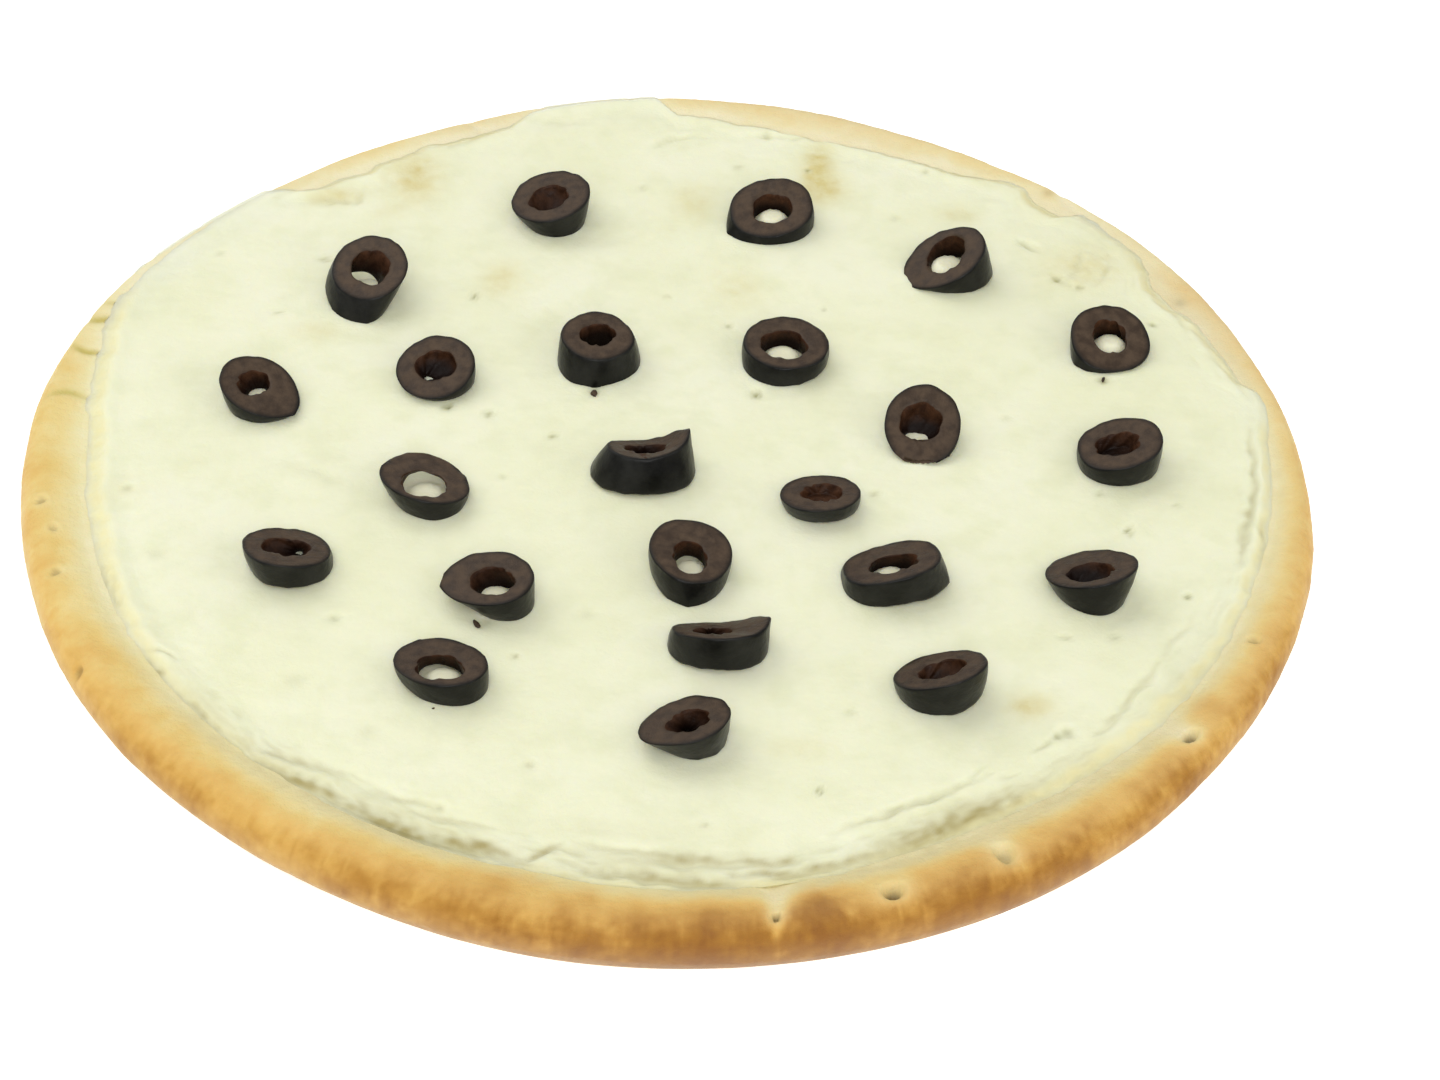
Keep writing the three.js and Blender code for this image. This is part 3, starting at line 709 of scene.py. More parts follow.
def crust_section(direction, station):
    """Radius and height of the crust's surface at a direction and a station."""
    outer = outer_radius(direction) - by_direction(SHRUNK, direction)
    crest = crest_radius(direction)
    top = crest_top(direction)
    foot = foot_radius(direction)
    edge = edge_radius(direction)
    ledge = edge - LEDGE
    ledge_height = edge_height(direction) - LEDGE_DROP
    stretch = np.minimum(station.astype(int), FLOOR)
    share = station - stretch
    quarter = share * math.pi / 2
    along_brow = crest + (edge - crest) * share
    slope = (1 + np.cos(math.pi * share)) / 2
    where = [stretch == s for s in (UNDERSIDE, FILLET, WALL, BROW, BED)]
    radius = np.select(
        where,
        [foot * share, foot + (outer - foot) * np.sin(quarter) ** FILLET_FLATNESS,
         crest + (outer - crest) * np.cos(quarter), along_brow, ledge - BED_RUN * share],
        (ledge - BED_RUN) * (1 - share),
    )
    height = np.select(
        where,
        [0 * share, bulge_height * (1 - np.cos(quarter) ** FILLET_FLATNESS),
         bulge_height + (top - bulge_height) * np.sin(quarter), rim_height(direction, along_brow),
         FLOOR_HEIGHT + (ledge_height - FLOOR_HEIGHT) * slope],
        FLOOR_HEIGHT,
    )
    return radius, height


def crust_mesh():
    stations = crust_stations()
    shape = bmesh.new()
    station_layer = shape.verts.layers.float.new("station")
    start = np.zeros(len(stations))
    radius, height = crust_section(start, np.array(stations))
    chain = [shape.verts.new((r, 0, z)) for r, z in zip(radius, height)]
    for vert, station in zip(chain, stations):
        vert[station_layer] = station
    edges = [shape.edges.new(pair) for pair in zip(chain, chain[1:])]
    bmesh.ops.spin(shape, geom=[*chain, *edges], cent=(0, 0, 0), axis=(0, 0, 1), angle=FULL_TURN,
                   steps=CRUST_STEPS, use_merge=True, use_duplicate=False)
    round_it = [e for e in shape.edges if e.verts[0][station_layer] == e.verts[1][station_layer]
                and e.calc_length() > TOUCHING]
    bmesh.ops.subdivide_edges(shape, edges=round_it, cuts=STEP_CUTS)
    poles = [v for v in shape.verts if math.hypot(v.co.x, v.co.y) < TOUCHING]
    bmesh.ops.remove_doubles(shape, verts=poles, dist=TOUCHING)
    bmesh.ops.recalc_face_normals(shape, faces=shape.faces)
    mesh = mesh_from(shape, "crust_rolled")
    shape_crust(mesh)
    return mesh


def marks_on_rim(plan, station, on_top):
    """What the docking holes, the creases and the spots do to the crust: how far they raise
    it, how pale they are, and how dark the spots and the painted shade in the holes are."""
    rise, pale, dark = np.zeros((3, len(plan)))
    above = (station > WALL) & (station < BED)
    for place, halves, depth, darkness in DOCKING_HOLES:
        outwards = np.array(place) / math.hypot(*place)
        turn = math.degrees(math.atan2(*outwards[::-1]))
        pit = in_patch(plan, place, halves, turn) * above
        ring = in_patch(plan, place, np.multiply(halves, HOLE_RING), turn) * above
        rise -= depth * smooth(0.15, 0.8, pit)
        rise += HOLE_RING_RISE * np.maximum(ring - pit, 0) * smooth(0, 0.5, ring)
        pale += min(HOLE_PALEST, HOLE_PALENESS * depth) * ring
        # painted shade darkening the middle of the hole
        shaded = in_patch(plan, place - 0.1 * outwards, np.multiply(halves, HOLE_SHADE), turn)
        dark += darkness * smooth(0.2, 0.8, shaded * above)
    for start_width, end_width, depth, paleness, line in RIM_CREASES:
        near, side, share = from_line(plan, line, 3 * start_width)
        half_width = start_width + (end_width - start_width) * share
        fade = faded_ends(share, 0.08) * above[near]
        rise[near] -= depth * fade * hump(side, half_width)
        pale[near] += paleness * fade * hump(side, 1.15 * half_width)
    for place, size in RIM_SPOTS:
        dark += SPOT_DARKNESS * hump(apart(plan, place), size) * on_top
    return rise, pale, dark


def browning(direction, station, mottle):
    """How browned the crust is, with its stronger tongues of brown."""
    across = np.interp(station, list(BROWNED_ACROSS), list(BROWNED_ACROSS.values()))
    for at, middle, half_width, half_length, strength in BROWN_TONGUES:
        off = np.degrees(angle_from(math.radians(at), direction)) / half_width
        across += strength * hump(off, 1) * hump(station - middle, half_length)
    return across * by_direction(BROWNING, direction) * (1 + mottle)


def shape_crust(mesh):
    """Moves the turned blank's points to the bread's own outline, and models its surface."""
    station = read(mesh.attributes["station"].data, "value")[:, 0]
    x, y, _ = points_of(mesh).T
    direction = np.arctan2(y, x)
    points = on_circle(direction, *crust_section(direction, station))
    put_points(mesh, points)
    on_top = smooth(WALL + 0.5, WALL + 0.9, station) * (1 - smooth(BED, BED + 0.3, station))
    on_wall = smooth(FILLET + 0.3, WALL, station) * (1 - smooth(WALL + 0.6, BROW + 0.1, station))
    on_rim = smooth(FILLET + 0.2, WALL, station) * (1 - smooth(BROW + 0.4, BROW + 0.95, station))

    unrolled = np.column_stack([direction * outer_radius(direction) / FIBRE_WIDTH,
                                station * BED_RUN / FIBRE_LENGTH, 0 * direction])
    fibres = bumps(unrolled, 1.0, 3) + 0.5 * bumps(unrolled * (2.1, 1.4, 1), 1.0, 4)
    rise, pale, dark = marks_on_rim(points[:, :2], station, on_top)
    rise += on_rim * layered(points, *RIM_LUMPS) + on_wall * FIBRE_RISE * fibres
    rise[station >= BED + 0.5] = 0
    points += normals_of(mesh) * rise[:, None]
    dents = np.maximum(0, layered(points, UNDERSIDE_DENTS)) * smooth(0, 0.2, FILLET - station)
    points[:, 2] = np.maximum(np.where(station < FILLET, dents, points[:, 2]), 0)
    put_points(mesh, points)

    streaks = STREAK_SHARE * bumps(round_ring(direction, station / 28), 0.036, 15)
    mottle = layered(points, *MOTTLES) + streaks
    mottle += (layered(points, *SPECKLES) + 0.06 * fibres) * (0.3 + 0.7 * on_wall)
    browned = browning(direction, station, mottle) + 0.25 * mottle * on_rim
    # painted shade on the brow, in the hollow beside the labneh
    brow_shade = by_direction(BROW_SHADE, direction) * smooth(BROW + 0.3, BROW + 0.85, station)
    # A band low on the wall, greyed with painted shade and a pale painted sheen.
    low_wall_shade_and_sheen = smooth(FILLET + 0.1, FILLET + 0.4, station)
    low_wall_shade_and_sheen *= 1 - smooth(FILLET + 0.55, WALL + 0.5, station)
    put_masks(mesh, {
        "browned": (browned - 0.45 * np.maximum(pale, 0)) / DARKEST,
        "furrow": -pale * on_top,
        "floured": by_direction(FLOURED, direction) * on_top,
        "pale": 0.6 * pale * on_top,
        # painted shade in the docking holes, with the rim's real dark spots
        "hole_shade_and_spots": dark,
        "low_wall_shade_and_sheen": low_wall_shade_and_sheen,
        "brow_shade": brow_shade * (0.85 + 0.5 * bumps(points, 3.0, 14)),
        "below": 1 - smooth(FILLET + 0.1, FILLET + 0.6, station),
    })


# The crust's colours by how browned it is.
BAKED = {0.0: (247, 240, 198), 0.12: (242, 231, 176), 0.27: (239, 219, 152), 0.43: (234, 204, 125),
         0.59: (228, 186, 102), 0.76: (213, 166, 82), 0.92: (190, 139, 58), 1.08: (166, 114, 36),
         DARKEST: (146, 94, 28)}


def crust_finish():
    finish, tree, shader, position = finish_called("baked_crust")
    flecks = blotched(tree, position, 0.0035, 0.5, 0.22)
    clouds = blotched(tree, position, 0.011, 0.5, 0.3)
    varied = maths(tree, "MULTIPLY_ADD", clouds, 0.09, mask_of(tree, "browned"))
    varied = maths(tree, "SUBTRACT", maths(tree, "MULTIPLY_ADD", flecks, 0.05, varied), 0.07)
    top = ramp(tree, varied, [(brown / DARKEST, paint(*colour)) for brown, colour in BAKED.items()])
    # painted shade and sheen greying the low wall
    top = mixed(tree, maths(tree, "MULTIPLY", mask_of(tree, "low_wall_shade_and_sheen"), 0.5), top, paint(162, 146, 130))
    # painted shade beside the labneh, then real flour and the furrows' olive yellow
    top = tinted(tree, top, ("brow_shade", (222, 209, 156)), ("floured", (221, 203, 186)),
                 ("furrow", (202, 186, 104)))
    floury = ramp(tree, clouds, [(0.0, paint(226, 200, 160)), (1.0, paint(236, 218, 188))])
    speckled = maths(tree, "MULTIPLY", blotched(tree, position, 0.016, 0.42, 0.1), flecks)
    under = mixed(tree, maths(tree, "MULTIPLY", speckled, 0.75), floury, paint(190, 128, 68))
    colour = mixed(tree, mask_of(tree, "below"), top, under)
    # painted shade in the docking holes, and the rim's real dark spots
    colour = tinted(tree, colour, ("pale", (234, 216, 164)), ("hole_shade_and_spots", (116, 94, 54)))
    rough = ranged(tree, clouds, 0.0, 1.0, 0.5, 0.66)
    put_surface(tree, shader, position, colour, rough, (0.0012, 3.2, 0.00022), 0.28)
    put_glow(shader, 0.08, (1.0, 0.5, 0.25), 0.002)
    return finish


# ---- Labneh ----

def swell(plan):
    """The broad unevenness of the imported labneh's upper side."""
    x, y = (plan / SWELL_LENGTHS + SWELL_SHIFTS).T
    return SWELL * np.cos(x) * np.cos(y)


def ragged_edge(direction):
    """The labneh's edge, with the small waves that spreading leaves."""
    ring = round_ring(direction)
    waves = by_direction(FEATHER, direction) * layered(ring, *FEATHER_WAVES)
    waves += layered(ring, *EDGE_WAVES)
    spill = by_direction(SPILL, direction) * (1 + 0.25 * bumps(ring, 0.05, 13))
    return np.minimum(edge_radius(direction) + spill + waves, crest_radius(direction) + FURTHEST)


def footprint(node):
    """Outline, on the plan, of what a slice presses into the labneh."""
    points = on_plan(node)
    level = LABNEH_HEIGHT + swell(points[:, :2]) + HULL_LIFT
    low = np.unique(points[points[:, 2] < level][:, :2].round(2), axis=0)
    return low[convex_hull_2d(low.tolist())]


def stone_hole(node):
    """Middle and radius, on the plan, of a slice's stone hole where it opens on the labneh."""
    points = np.unique(on_plan(node).round(2), axis=0)
    outline = points[:, :2][convex_hull_2d(points[:, :2].tolist())]
    inner = points[outside(points[:, :2], outline) < -HOLE_INSET]
    low = inner[inner[:, 2] < np.median(inner[:, 2])]
    middle = low.mean(0)
    return middle[:2], np.hypot(*(low - middle)[:, :2].T).mean()


def outside(plan, outline):
    """Distance of each plan point outside a convex outline, and below 0 within it."""
    away = np.full(len(plan), 1e9)
    within = np.ones(len(plan), bool)
    for start, stop in zip(outline, np.roll(outline, -1, 0)):
        step = stop - start
        away = np.minimum(away, along_step(plan, start, step)[1])
        within &= (plan - start) @ (step[1], -step[0]) <= 0
    return np.where(within, -away, away)


def crumpled_edge(direction, inward):
    """How far the crumpled band beside the labneh's edge rises, and how dark the painted
    shade in its crevices is.
    """
    crumpled = by_direction(CRUMPLED, direction) * smooth(10.5, 4.5, inward)
    along = np.column_stack([30 * direction, inward, 0 * inward])
    crumple = 0.5 - 1.8 * np.abs(bumps(along, 1.8, 30)) + 0.5 * bumps(along * (2.2, 2, 1), 2.3, 31)
    crumple += 0.35 * bumps(along * (5, 4, 1), 2.3, 32)
    return CRUMPLE_RISE * crumpled * crumple, 0.16 * crumpled * smooth(0.2, -0.8, crumple)


def creased(plan, inward, wander, torn):
    """How far the labneh's creases raise it, and how dark the painted shade in them is near its
    edge and away from it."""
    rise, crevice_shade, shade = np.zeros((3, len(plan)))
    for half_width, depth, fold, line in LABNEH_CREASES:
        near, side, share = from_line(plan, line, 5 * half_width)
        side = side + 0.9 * wander[near]
        fade = faded_ends(share, 0.04) * np.clip(1 + 0.7 * torn[near], 0.2, 2)
        rise[near] -= depth * fade * hump(side, half_width)
        rise[near] += fold * fade * hump(side - 2 * half_width, 1.5 * half_width)
        near_edge = smooth(14, 6, inward[near])
        marked = CREASE_DARKNESS * depth * fade * hump(side, 0.85 * half_width)
        crevice_shade[near] += marked * near_edge
        shade[near] += marked * (1 - near_edge)
    return rise, crevice_shade, shade


def pitted(plan, uneven):
    """How far the pits and the rings round them raise the labneh, and how dark they are."""
    rise, shade = np.zeros((2, len(plan)))
    for place, size, depth, darkness in PITS:
        away = apart(plan, place) * uneven
        rise -= depth * hump(away, size)
        rise += PIT_RING_RISE * depth * hump(away - 2 * size, 0.8 * size)
        shade += darkness * hump(away, 0.75 * size)
    return rise, shade


def against_olives(plan):
    """How far the labneh rises against the slices and into their stone holes, and which of it
    is in a hole, where painted light brightens it."""
    rise, hole_painted_light = np.zeros((2, len(plan)))
    for node in OLIVES:
        away = outside(plan, FOOTPRINTS[node])
        rise += MENISCUS * hump(np.maximum(away, 0), MENISCUS_RUN)
    for number, pushed in PUSHED_UP.items():
        middle, radius = stone_hole(f"olive_{number:02d}")
        away = apart(plan, middle) / radius
        rise += pushed * (1 - smooth(0.55, 1.15, away))
        hole_painted_light = np.maximum(hole_painted_light, 1 - smooth(1.2, 1.5, away))
    return rise, hole_painted_light


def spread_surface(plan, direction, inward):
    """The labneh's upper side on the plan: its height, and the masks of its colours. inward is
    the distance from its edge."""
    flat = np.column_stack([plan, 0 * inward])
    torn = bumps(flat, 2.0, 33)
    wander = bumps(flat, 4.5, 34) + 0.4 * torn
    crumple, crevice_shade = crumpled_edge(direction, inward)
    folds, near_edge, shade = creased(plan, inward, wander, torn)
    pits, specks = pitted(plan, 1 + 0.25 * bumps(flat, 1.3, 28))
    lift, hole_painted_light = against_olives(plan)
    height = LABNEH_HEIGHT + swell(plan) + crumple + folds + pits + lift
    height += layered(flat, *SPREAD_LUMPS) + 0.07 * bumps(flat * (0.6, 1.5, 1), 6.0, 23)
    roll = 0.75 + 0.45 * bumps(round_ring(direction), 0.3, 25)
    height += ROLL_RISE * roll * hump(inward - ROLL_AT, ROLL_WIDTH)
    height -= GROOVE_DEPTH * roll * hump(inward - GROOVE_AT, GROOVE_WIDTH)
    folded = 0.7 - 2 * np.abs(bumps(flat, 4.4, 26)) + 0.4 * bumps(flat, 1.9, 27)
    for place, halves, turn, size in WRINKLED:
        height += size * folded * in_patch(plan, place, halves, turn)
    crevice_shade += near_edge
    for place, halves, turn, depth, darkness in HOLLOWS:
        weight = in_patch(plan, place, halves, turn)
        height -= depth * weight
        # painted shade in the hollow
        crevice_shade += darkness * weight * (1 + 0.35 * torn)
    toast = np.zeros(len(plan))
    for place, halves, turn, strength in TOASTED:
        toast += strength * in_patch(plan, place, np.multiply(halves, TOAST_SPREAD), turn)
    toast *= TOAST_STRENGTH * (1 + 0.3 * bumps(flat, 3.2, 29) + 0.35 * torn)
    feather = TINT_REACH * by_direction(LIP_RUNS, direction)
    # the crust showing through the thin edge, with painted shade along it
    thin_edge_and_shade = np.clip(1 - inward / feather, 0, 1) * by_direction(EDGE_TINT, direction)
    return height, {"shade": shade + specks, "crevice_shade": np.minimum(crevice_shade, DEEPEST_CREVICE),
                    "toast": toast, "thin_edge_and_shade": thin_edge_and_shade, "hole_painted_light": hole_painted_light}


def labneh_mesh():
    shape = bmesh.new()
    bmesh.ops.create_grid(shape, x_segments=2 * RINGS, y_segments=2 * RINGS, size=1)
    row_layer = shape.verts.layers.float.new("row")
    rim = [e for e in shape.edges if e.is_boundary]
    for row in (1, 2):
        made = bmesh.ops.extrude_edge_only(shape, edges=rim)
        rim = [e for e in made["geom"] if isinstance(e, bmesh.types.BMEdge) and e.is_boundary]
        for vert in {v for e in rim for v in e.verts}:
            vert[row_layer] = row
    made = bmesh.ops.extrude_edge_only(shape, edges=rim)
    last = [v for v in made["geom"] if isinstance(v, bmesh.types.BMVert)]
    for vert in last:
        vert[row_layer] = 3
    bmesh.ops.pointmerge(shape, verts=last, merge_co=(0, 0, -1))
    bmesh.ops.recalc_face_normals(shape, faces=shape.faces)
    mesh = mesh_from(shape, "labneh_spread")
    shape_labneh(mesh)
    return mesh


def shape_labneh(mesh):
    """Takes the square grid's rings to rings of the spread, and models its surface."""
    row = read(mesh.attributes["row"].data, "value")[:, 0]
    x, y, _ = points_of(mesh).T
    ring = np.maximum(np.abs(x), np.abs(y))
    wide = np.abs(x) >= np.abs(y)
    turn = np.divide(np.where(wide, y, x), np.where(wide, x, y),
                     out=np.zeros(len(x)), where=ring > 0) * math.pi / 4
    direction = np.where(wide, turn + math.pi * (x < 0), math.pi / 2 - turn + math.pi * (y < 0))
    direction = np.arctan2(np.sin(direction), np.cos(direction))

    edge = ragged_edge(direction)
    lip_run = by_direction(LIP_RUNS, direction)
    rings = ring * RINGS
    out = np.clip((rings - INNER_RINGS) / (RINGS - LIP_RINGS - INNER_RINGS), 0, 1)
    over_lip = np.clip((rings - RINGS + LIP_RINGS) / LIP_RINGS, 0, 1)
    angle = np.radians(90 + (LIP_END - 90) * over_lip)
    feather = by_direction(FEATHER, direction)
    lip_out = feather * over_lip + (1 - feather) * np.cos(angle) * (over_lip > 0)
    radius = (edge - EDGE_BAND) * np.minimum(rings / INNER_RINGS, 1)
    radius += (EDGE_BAND - lip_run) * out + lip_run * lip_out
    plan = on_circle(direction, radius, 0 * radius)[:, :2]
    top, masks = spread_surface(plan, direction, edge - radius)
    shoulder = rim_height(direction, edge) - SINK
    rounding = feather * (1 - smooth(0, 1, over_lip)) + (1 - feather) * np.sin(angle)
    height = shoulder + (top - shoulder) * rounding
    # Where the labneh is spilt far over the crest it is too thick to let the crust show.
    spilt = smooth(1.0, 3.5, by_direction(SPILL, direction))
    masks["film"] = feather * smooth(0.0, 0.55, over_lip) * (1 - 0.85 * spilt)
    clear_of_crust = np.interp(over_lip, list(LIP_CLEARANCE), list(LIP_CLEARANCE.values()))
    clear_of_crust *= 1 - 0.5 * feather
    height = np.maximum(height, rim_height(direction, radius) + clear_of_crust)

    under = row > 0
    packed_edge = edge_radius(direction)
    in_by = np.select([row == 1, row == 2], [LEDGE + 1.0, LEDGE + BED_RUN], packed_edge)
    under_height = np.select([row == 1, row == 2],
                             [edge_height(direction) - 0.8, FLOOR_HEIGHT], FLOOR_HEIGHT)
    radius = np.where(under, np.maximum(packed_edge - in_by, 0), radius)
    height = np.where(under, under_height, height)
    put_points(mesh, on_circle(direction, radius, height))
    put_masks(mesh, masks)


def labneh_finish():
    finish, tree, shader, position = finish_called("labneh")
    clouds = blotched(tree, position, 0.02, 0.5, 0.3)
    flecks = ranged(tree, blotched(tree, position, 0.003, 0.5, 0.2), 0.0, 1.0, 0.7, 1.0)
    patches = maths(tree, "MULTIPLY", blotched(tree, position, 0.009, 0.42, 0.16), 0.45)
    colour = mixed(tree, clouds, paint(242, 243, 207), paint(248, 249, 219))
    colour = mixed(tree, patches, colour, paint(230, 232, 193))
    # crust showing through the thin edge, and painted shade along it
    colour = tinted(tree, colour, ("thin_edge_and_shade", (222, 213, 160)))
    for name, tint in (("film", (250, 240, 186)), ("toast", (221, 207, 142))):
        share = maths(tree, "MULTIPLY", mask_of(tree, name), flecks)
        colour = mixed(tree, share, colour, paint(*tint))
    # painted shade in the crevices, hollows and creases, and the pits' darkening
    colour = tinted(tree, colour, ("crevice_shade", (165, 148, 80)), ("shade", (156, 152, 88)),
                    # painted light brightening the labneh in the stone holes
                    ("hole_painted_light", (250, 245, 212)))
    rough = ranged(tree, clouds, 0.0, 1.0, 0.36, 0.5)
    put_surface(tree, shader, position, colour, rough, (0.0022, 3.0, 0.00014), 0.35)
    put_glow(shader, 0.5, (1.0, 0.9, 0.65), 0.0022)
    return finish


# ---- Olive slices ----

OLIVES = sorted(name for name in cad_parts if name.startswith("olive"))
FOOTPRINTS = {node: footprint(node) for node in OLIVES}
SKIN, FLESH, BORE = range(3)
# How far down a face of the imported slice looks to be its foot, and how far up to be its cut.
FOOT_FACING, CUT_FACING = -0.85, 0.6
TEETH = 8  # torn points round a stone hole

# Labneh pushed up into the stone holes, by the slice's number.
PUSHED_UP = {2: 2.0, 3: 2.3, 4: 2.3, 5: 1.9, 6: 1.8, 7: 1.4, 9: 0.9, 10: 0.8, 13: 1.5, 16: 2.4,
             17: 1.5, 19: 1.6, 21: 1.7}
# How far the others' stone holes close in towards the foot.
CLOSED = {1: 0.9, 8: 0.8, 9: 0.5, 10: 0.5, 12: 0.9, 15: 0.85, 18: 0.9, 20: 0.8, 22: 0.9, 23: 0.9}
# How dark the painted shade deep in the stone holes is, where it isn't the usual.
GLOOM = {1: 0.8, 2: 1.9, 5: 1.5, 6: 1.7, 7: 1.8, 8: 2.4, 9: 1.7, 10: 2.2, 12: 1.6, 14: 0.3, 18: 1.8,
         22: 0.5}
USUAL_GLOOM = 1.2


def region_of(face, middle, hole):
    """Which of the slice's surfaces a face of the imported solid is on."""
    centre = face.calc_center_median()
    if face.normal.z < FOOT_FACING:
        return FLESH
    inside = math.hypot(*(centre - middle).xy) < hole
    if face.normal.z > CUT_FACING:
        return BORE if inside else FLESH
    return SKIN if (centre - middle).xy.dot(face.normal.xy) > 0 else BORE


def slice_cage(node):
    """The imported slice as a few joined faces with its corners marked, still a plain solid."""
    cage = bmesh.new()
    cage.from_mesh(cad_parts[node].data)
    bmesh.ops.transform(cage, matrix=SETTLE.inverted(), verts=cage.verts)
    bmesh.ops.remove_doubles(cage, verts=cage.verts, dist=TOUCHING)
    cage.normal_update()
    middle = sum((v.co for v in cage.verts), Vector()) / len(cage.verts)
    radius = max(math.hypot(*(v.co - middle).xy) for v in cage.verts)
    for face in cage.faces:
        face.material_index = region_of(face, middle, 0.3 * radius)
    bmesh.ops.join_triangles(cage, faces=cage.faces, cmp_materials=True,
                             angle_face_threshold=math.radians(60),
                             angle_shape_threshold=math.radians(80))
    crease = cage.edges.layers.float.new("crease_edge")
    for edge in cage.edges:
        regions = {face.material_index for face in edge.link_faces}
        turned = edge.calc_face_angle(0) > CORNER_ANGLE
        if len(regions) > 1 or turned:
            edge[crease] = CORNER_SHARPNESS
    shrink = (2 + math.cos(FULL_TURN / SLICE_SIDES)) / 3
    grow = Matrix.Diagonal((1 / shrink, 1 / shrink, 1, 1))
    to_middle = Matrix.Translation(-middle)
    bmesh.ops.transform(cage, matrix=to_middle.inverted() @ grow @ to_middle, verts=cage.verts)
    return cage


def rounded(mesh):
    """The mesh with its faces divided and rounded."""
    blank = bpy.data.objects.new("blank", mesh)
    bpy.context.scene.collection.objects.link(blank)
    rounding = blank.modifiers.new("rounding", "SUBSURF")
    rounding.levels = SLICE_LEVELS
    rounding.render_levels = SLICE_LEVELS
    evaluated = blank.evaluated_get(bpy.context.evaluated_depsgraph_get())
    made = bpy.data.meshes.new_from_object(evaluated)
    bpy.data.objects.remove(blank)
    return made


def shares_of_regions(mesh):
    """For each point, how much of what is round it is skin, flesh and bore."""
    shares = np.zeros((len(mesh.vertices), 3))
    for face in mesh.polygons:
        for vertex in face.vertices:
            shares[vertex, face.material_index] += 1
    return shares / shares.sum(1)[:, None]


def torn_hole(angle, draw):
    """How far the torn edge of a stone hole stands in, at each angle round it."""
    inset = np.zeros(len(angle))
    for tooth in range(TEETH):
        at = FULL_TURN * (tooth + draw.uniform(-0.35, 0.35)) / TEETH
        size = draw.uniform(0.1, 0.75)
        width = draw.uniform(0.16, 0.34)
        away = np.abs(angle_from(at, angle))
        inset += size * np.exp(-(away / width) ** 1.6)
    return inset - 0.2


def tear_open(points, rim, bore, flesh, number, draw):
    """Moves a slice's points about its stone hole, so that the hole is torn at the top, ribbed
    and closed in towards the foot. Gives how deep in it each point lies, from 0 to 1."""
    wall = points[bore > 0.99]
    middle = points[rim].mean(0)
    lowest = wall[wall[:, 2].argsort()[:40]].mean(0)
    lean = (middle - lowest)[:2] / max((middle - lowest)[2], 1)
    from_axis = points[:, :2] - middle[:2] - np.outer(points[:, 2] - middle[2], lean)
    angle = np.arctan2(from_axis[:, 1], from_axis[:, 0])
    out = np.hypot(*from_axis.T)
    order = angle[rim].argsort()
    hole = np.interp(angle, angle[rim][order], out[rim][order], period=FULL_TURN)
    weight = np.where(bore > 0.01, np.clip(out / hole, 0, 1), hump(out - hole, 1.3) * (flesh > 0))
    depth = np.clip((middle[2] - points[:, 2]) / HOLE_DEPTH, 0, 1)
    inset = torn_hole(angle + 0.25 * depth * draw.uniform(-1, 1), draw) * weight * (1 - 0.35 * depth)
    down = (middle[2] - points[:, 2]) / (middle[2] - lowest[2])
    inset += CLOSED.get(number, 0) * out * smooth(0.1, 1.0, down) * (bore > 0.01)
    inset += bore * RIB_RISE * bumps(on_circle(angle, 3.2, points[:, 2] / 5), 1.0, number)
    points[:, :2] -= from_axis / np.maximum(out, 0.5)[:, None] * inset[:, None]
    return depth


def slice_mesh(node):
    number = int(node.split("_")[1])
    cage = mesh_from(slice_cage(node), f"cage_{number:02d}")
    mesh = rounded(cage)
    bpy.data.meshes.remove(cage)
    mesh.name = f"olive_slice_{number:02d}"
    points = points_of(mesh)
    normals = normals_of(mesh)
    skin, flesh, bore = shares_of_regions(mesh).T
    faces_up = normals[:, 2] > 0
    cut_edge = (skin > 0.01) & (flesh > 0.01)
    rim = (bore > 0.01) & (flesh > 0.01) & faces_up
    depth = tear_open(points, rim, bore, flesh, number, random.Random(number))

    rise = skin * layered(points, *SKIN_LUMPS, more=number)
    rise += flesh * layered(points, *FLESH_LUMPS, more=number)
    rise += bore * layered(points, BORE_LUMPS, more=number)
    rise += cut_edge * layered(points, CUT_EDGE_LUMPS, more=number)
    points += normals * rise[:, None]
    put_points(mesh, points)
    near_skin = np.zeros(len(points))
    outline = points[cut_edge & faces_up]
    if len(outline):
        gaps = np.linalg.norm(points[:, None] - outline[None], axis=2).min(1)
        near_skin = hump(gaps, SKIN_BAND)
    # painted shade growing deeper in the stone hole
    put_masks(mesh, {"near_skin": near_skin, "deep_hole_shade": depth * GLOOM.get(number, USUAL_GLOOM)})
    mesh.shade_smooth()
    return mesh


def olive_finish(name, mottle_and_sheen, dark, light, rough, grain, specular, *masks):
    """One of a slice's three surfaces, its colour varied in blotches; on the skin the light
    blotches are a painted sheen. The blotches' size, cover and softness come first.
    """
    finish, tree, shader, position = finish_called(name)
    mottle_and_sheen = blotched(tree, position, *mottle_and_sheen)
    colour = tinted(tree, mixed(tree, mottle_and_sheen, paint(*dark), paint(*light)), *masks)
    rough = ranged(tree, mottle_and_sheen, 0.0, 1.0, *rough)
    put_surface(tree, shader, position, colour, rough, grain, specular)
    return finish


def crumbs_mesh():
    """The crumbs of olive, as one mesh of small uneven pebbles."""
    draw = random.Random(5)
    shape = bmesh.new()
    for place, length, width, turn in OLIVE_CRUMBS:
        made = bmesh.ops.create_icosphere(shape, subdivisions=2, radius=0.5)
        level = LABNEH_HEIGHT + swell(np.array([place]))[0]
        sizes = Matrix.Diagonal((length, width, 0.8 * width, 1))
        lie = Matrix.Translation((*place, level + 0.15 * width))
        lie @= Matrix.Rotation(math.radians(turn), 4, "Z")
        seed = draw.uniform(0, 50)
        for vert in made["verts"]:
            vert.co *= 1 + 0.45 * noise.noise(vert.co * 3 + Vector((seed, 0, 0)))
            vert.co = lie @ (sizes @ vert.co)
    return mesh_from(shape, "olive_crumbs")


# ---- Floor, light and camera ----

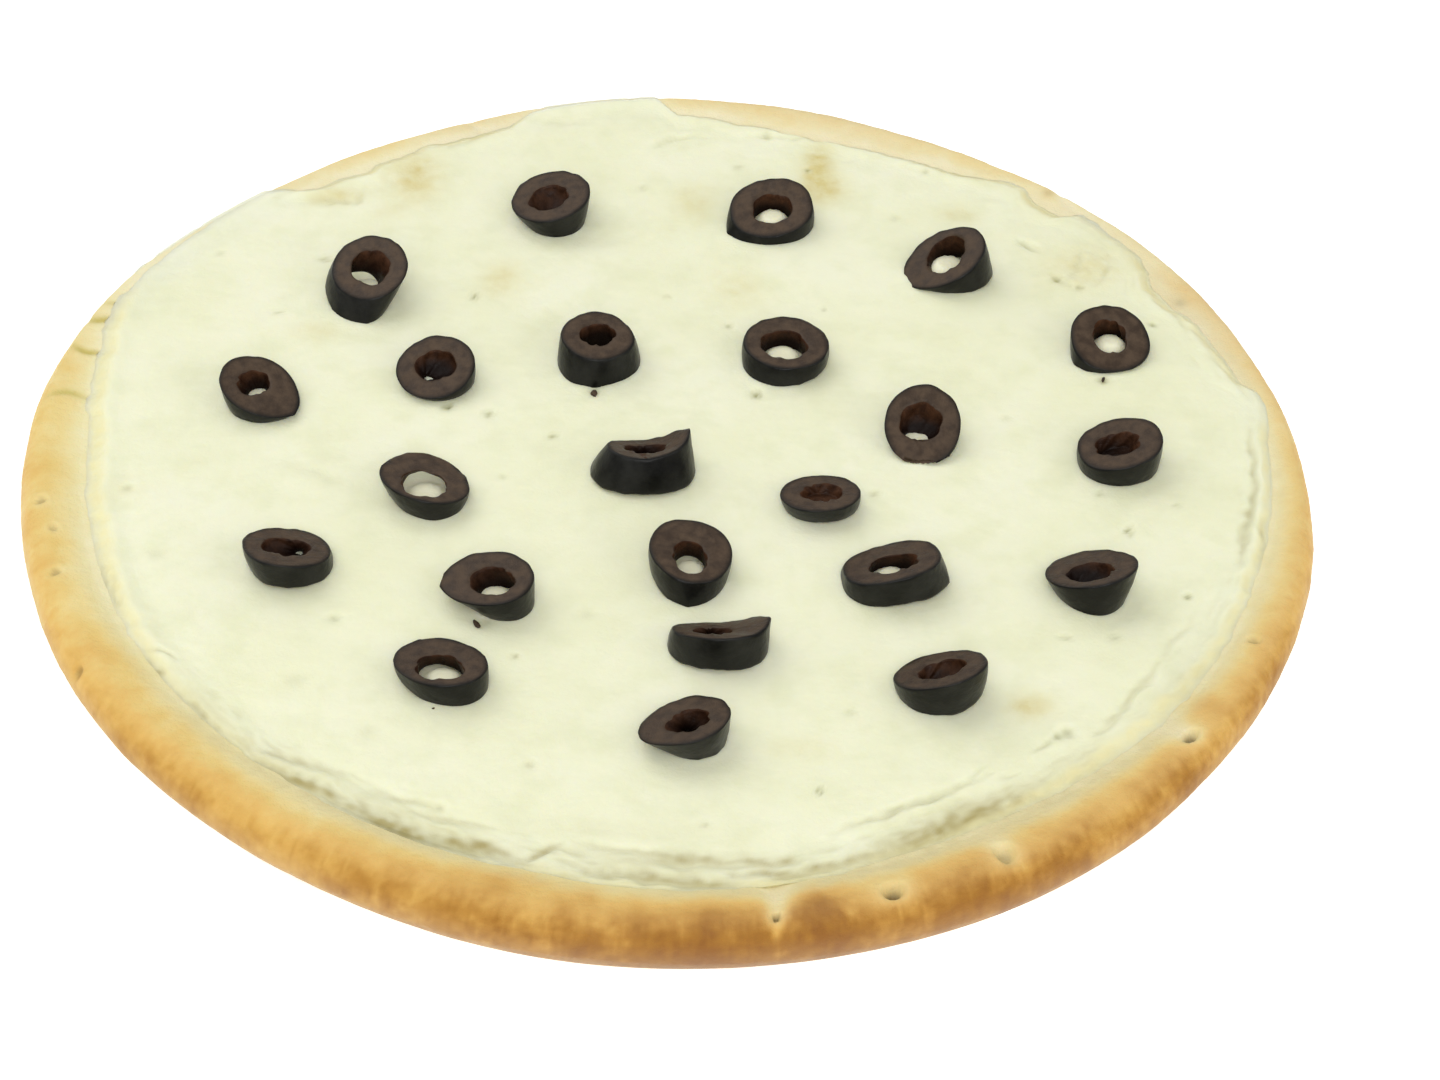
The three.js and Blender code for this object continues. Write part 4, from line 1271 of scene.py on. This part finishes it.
FLOOR_REACH = 4.0  # metres from its middle to its sides
FLOOR_GAP = 0.0001  # metres, so that the underside and the floor don't share a plane
SKY = 0.48
# Soft lamps: name, place, size in metres, power in watts.
LAMPS = (("key", (-0.75, 0.55, 1.25), 1.5, 9.2), ("fill", (1.0, -0.6, 0.6), 0.7, 2.3),
         ("front", (0.0, -1.6, 1.45), 1.2, 16.6))


def floor_and_light():
    shape = bmesh.new()
    bmesh.ops.create_grid(shape, x_segments=1, y_segments=1, size=FLOOR_REACH)
    floor = bpy.data.objects.new("floor", mesh_from(shape, "floor"))
    floor.location.z = -FLOOR_GAP
    bpy.context.scene.collection.objects.link(floor)
    plain, _, shader, _ = finish_called("plain_floor")
    shader.inputs["Base Color"].default_value = (0.95, 0.95, 0.95, 1)
    shader.inputs["Roughness"].default_value = 0.9
    shader.inputs["Specular IOR Level"].default_value = 0.1
    shader.inputs["Emission Color"].default_value = (1, 1, 1, 1)
    shader.inputs["Emission Strength"].default_value = 0.5
    floor.data.materials.append(plain)

    world = bpy.data.worlds.new("studio")
    bpy.context.scene.world = world
    world.use_nodes = True
    sky = world.node_tree.nodes["Background"]
    sky.inputs["Color"].default_value = (1, 1, 1, 1)
    sky.inputs["Strength"].default_value = SKY
    for name, place, size, power in LAMPS:
        lamp = bpy.data.lights.new(name, "AREA")
        lamp.size = size
        lamp.energy = power
        holder = bpy.data.objects.new(name, lamp)
        holder.location = place
        holder.rotation_euler = (-Vector(place)).to_track_quat("-Z", "Y").to_euler()
        bpy.context.scene.collection.objects.link(holder)
    bpy.context.scene.view_settings.view_transform = "Standard"


CAMERA_PLACE = Vector((0.000674, -0.52841, 0.46071))
CAMERA_AIM = Vector((0.010424, -0.018859, 0.006))
CAMERA_ROLL = math.radians(2.75)
LENS, SENSOR = 90, 36


def camera():
    view = bpy.data.cameras.new("camera")
    view.lens = LENS
    view.sensor_width = SENSOR
    holder = bpy.data.objects.new("camera", view)
    back = (CAMERA_PLACE - CAMERA_AIM).normalized()
    right = Vector((0, 0, 1)).cross(back).normalized()
    up = back.cross(right)
    level = Matrix((right, up, back)).transposed()
    turned = level @ Matrix.Rotation(CAMERA_ROLL, 3, "Z")
    holder.matrix_world = Matrix.Translation(CAMERA_PLACE) @ turned.to_4x4()
    bpy.context.scene.collection.objects.link(holder)
    bpy.context.scene.camera = holder


# ---- The whole ----

add_piece(crust_mesh(), [crust_finish()], ["crust"])
add_piece(labneh_mesh(), [labneh_finish()], ["labneh"])
OLIVE_FINISHES = [
    # the skin's lighter blotches are a painted sheen
    olive_finish("olive_skin", (0.006, 0.45, 0.2), (10, 10, 8), (34, 34, 31), (0.3, 0.42),
                 (0.0009, 2.6, 0.00006), 0.2),
    olive_finish("olive_flesh", (0.0022, 0.5, 0.22), (60, 47, 36), (84, 68, 53), (0.42, 0.56),
                 (0.0008, 2.6, 0.00012), 0.22, ("near_skin", (30, 26, 21))),
    # the stone hole's wall, darkened deeper in with painted shade
    olive_finish("olive_bore", (0.0018, 0.5, 0.2), (50, 30, 19), (78, 50, 32), (0.34, 0.5),
                 (0.0008, 2.4, 0.00014), 0.1, ("deep_hole_shade", (24, 14, 10))),
]
for node in OLIVES:
    add_piece(slice_mesh(node), OLIVE_FINISHES, [node])
add_piece(crumbs_mesh(), [OLIVE_FINISHES[FLESH]])
floor_and_light()
camera()
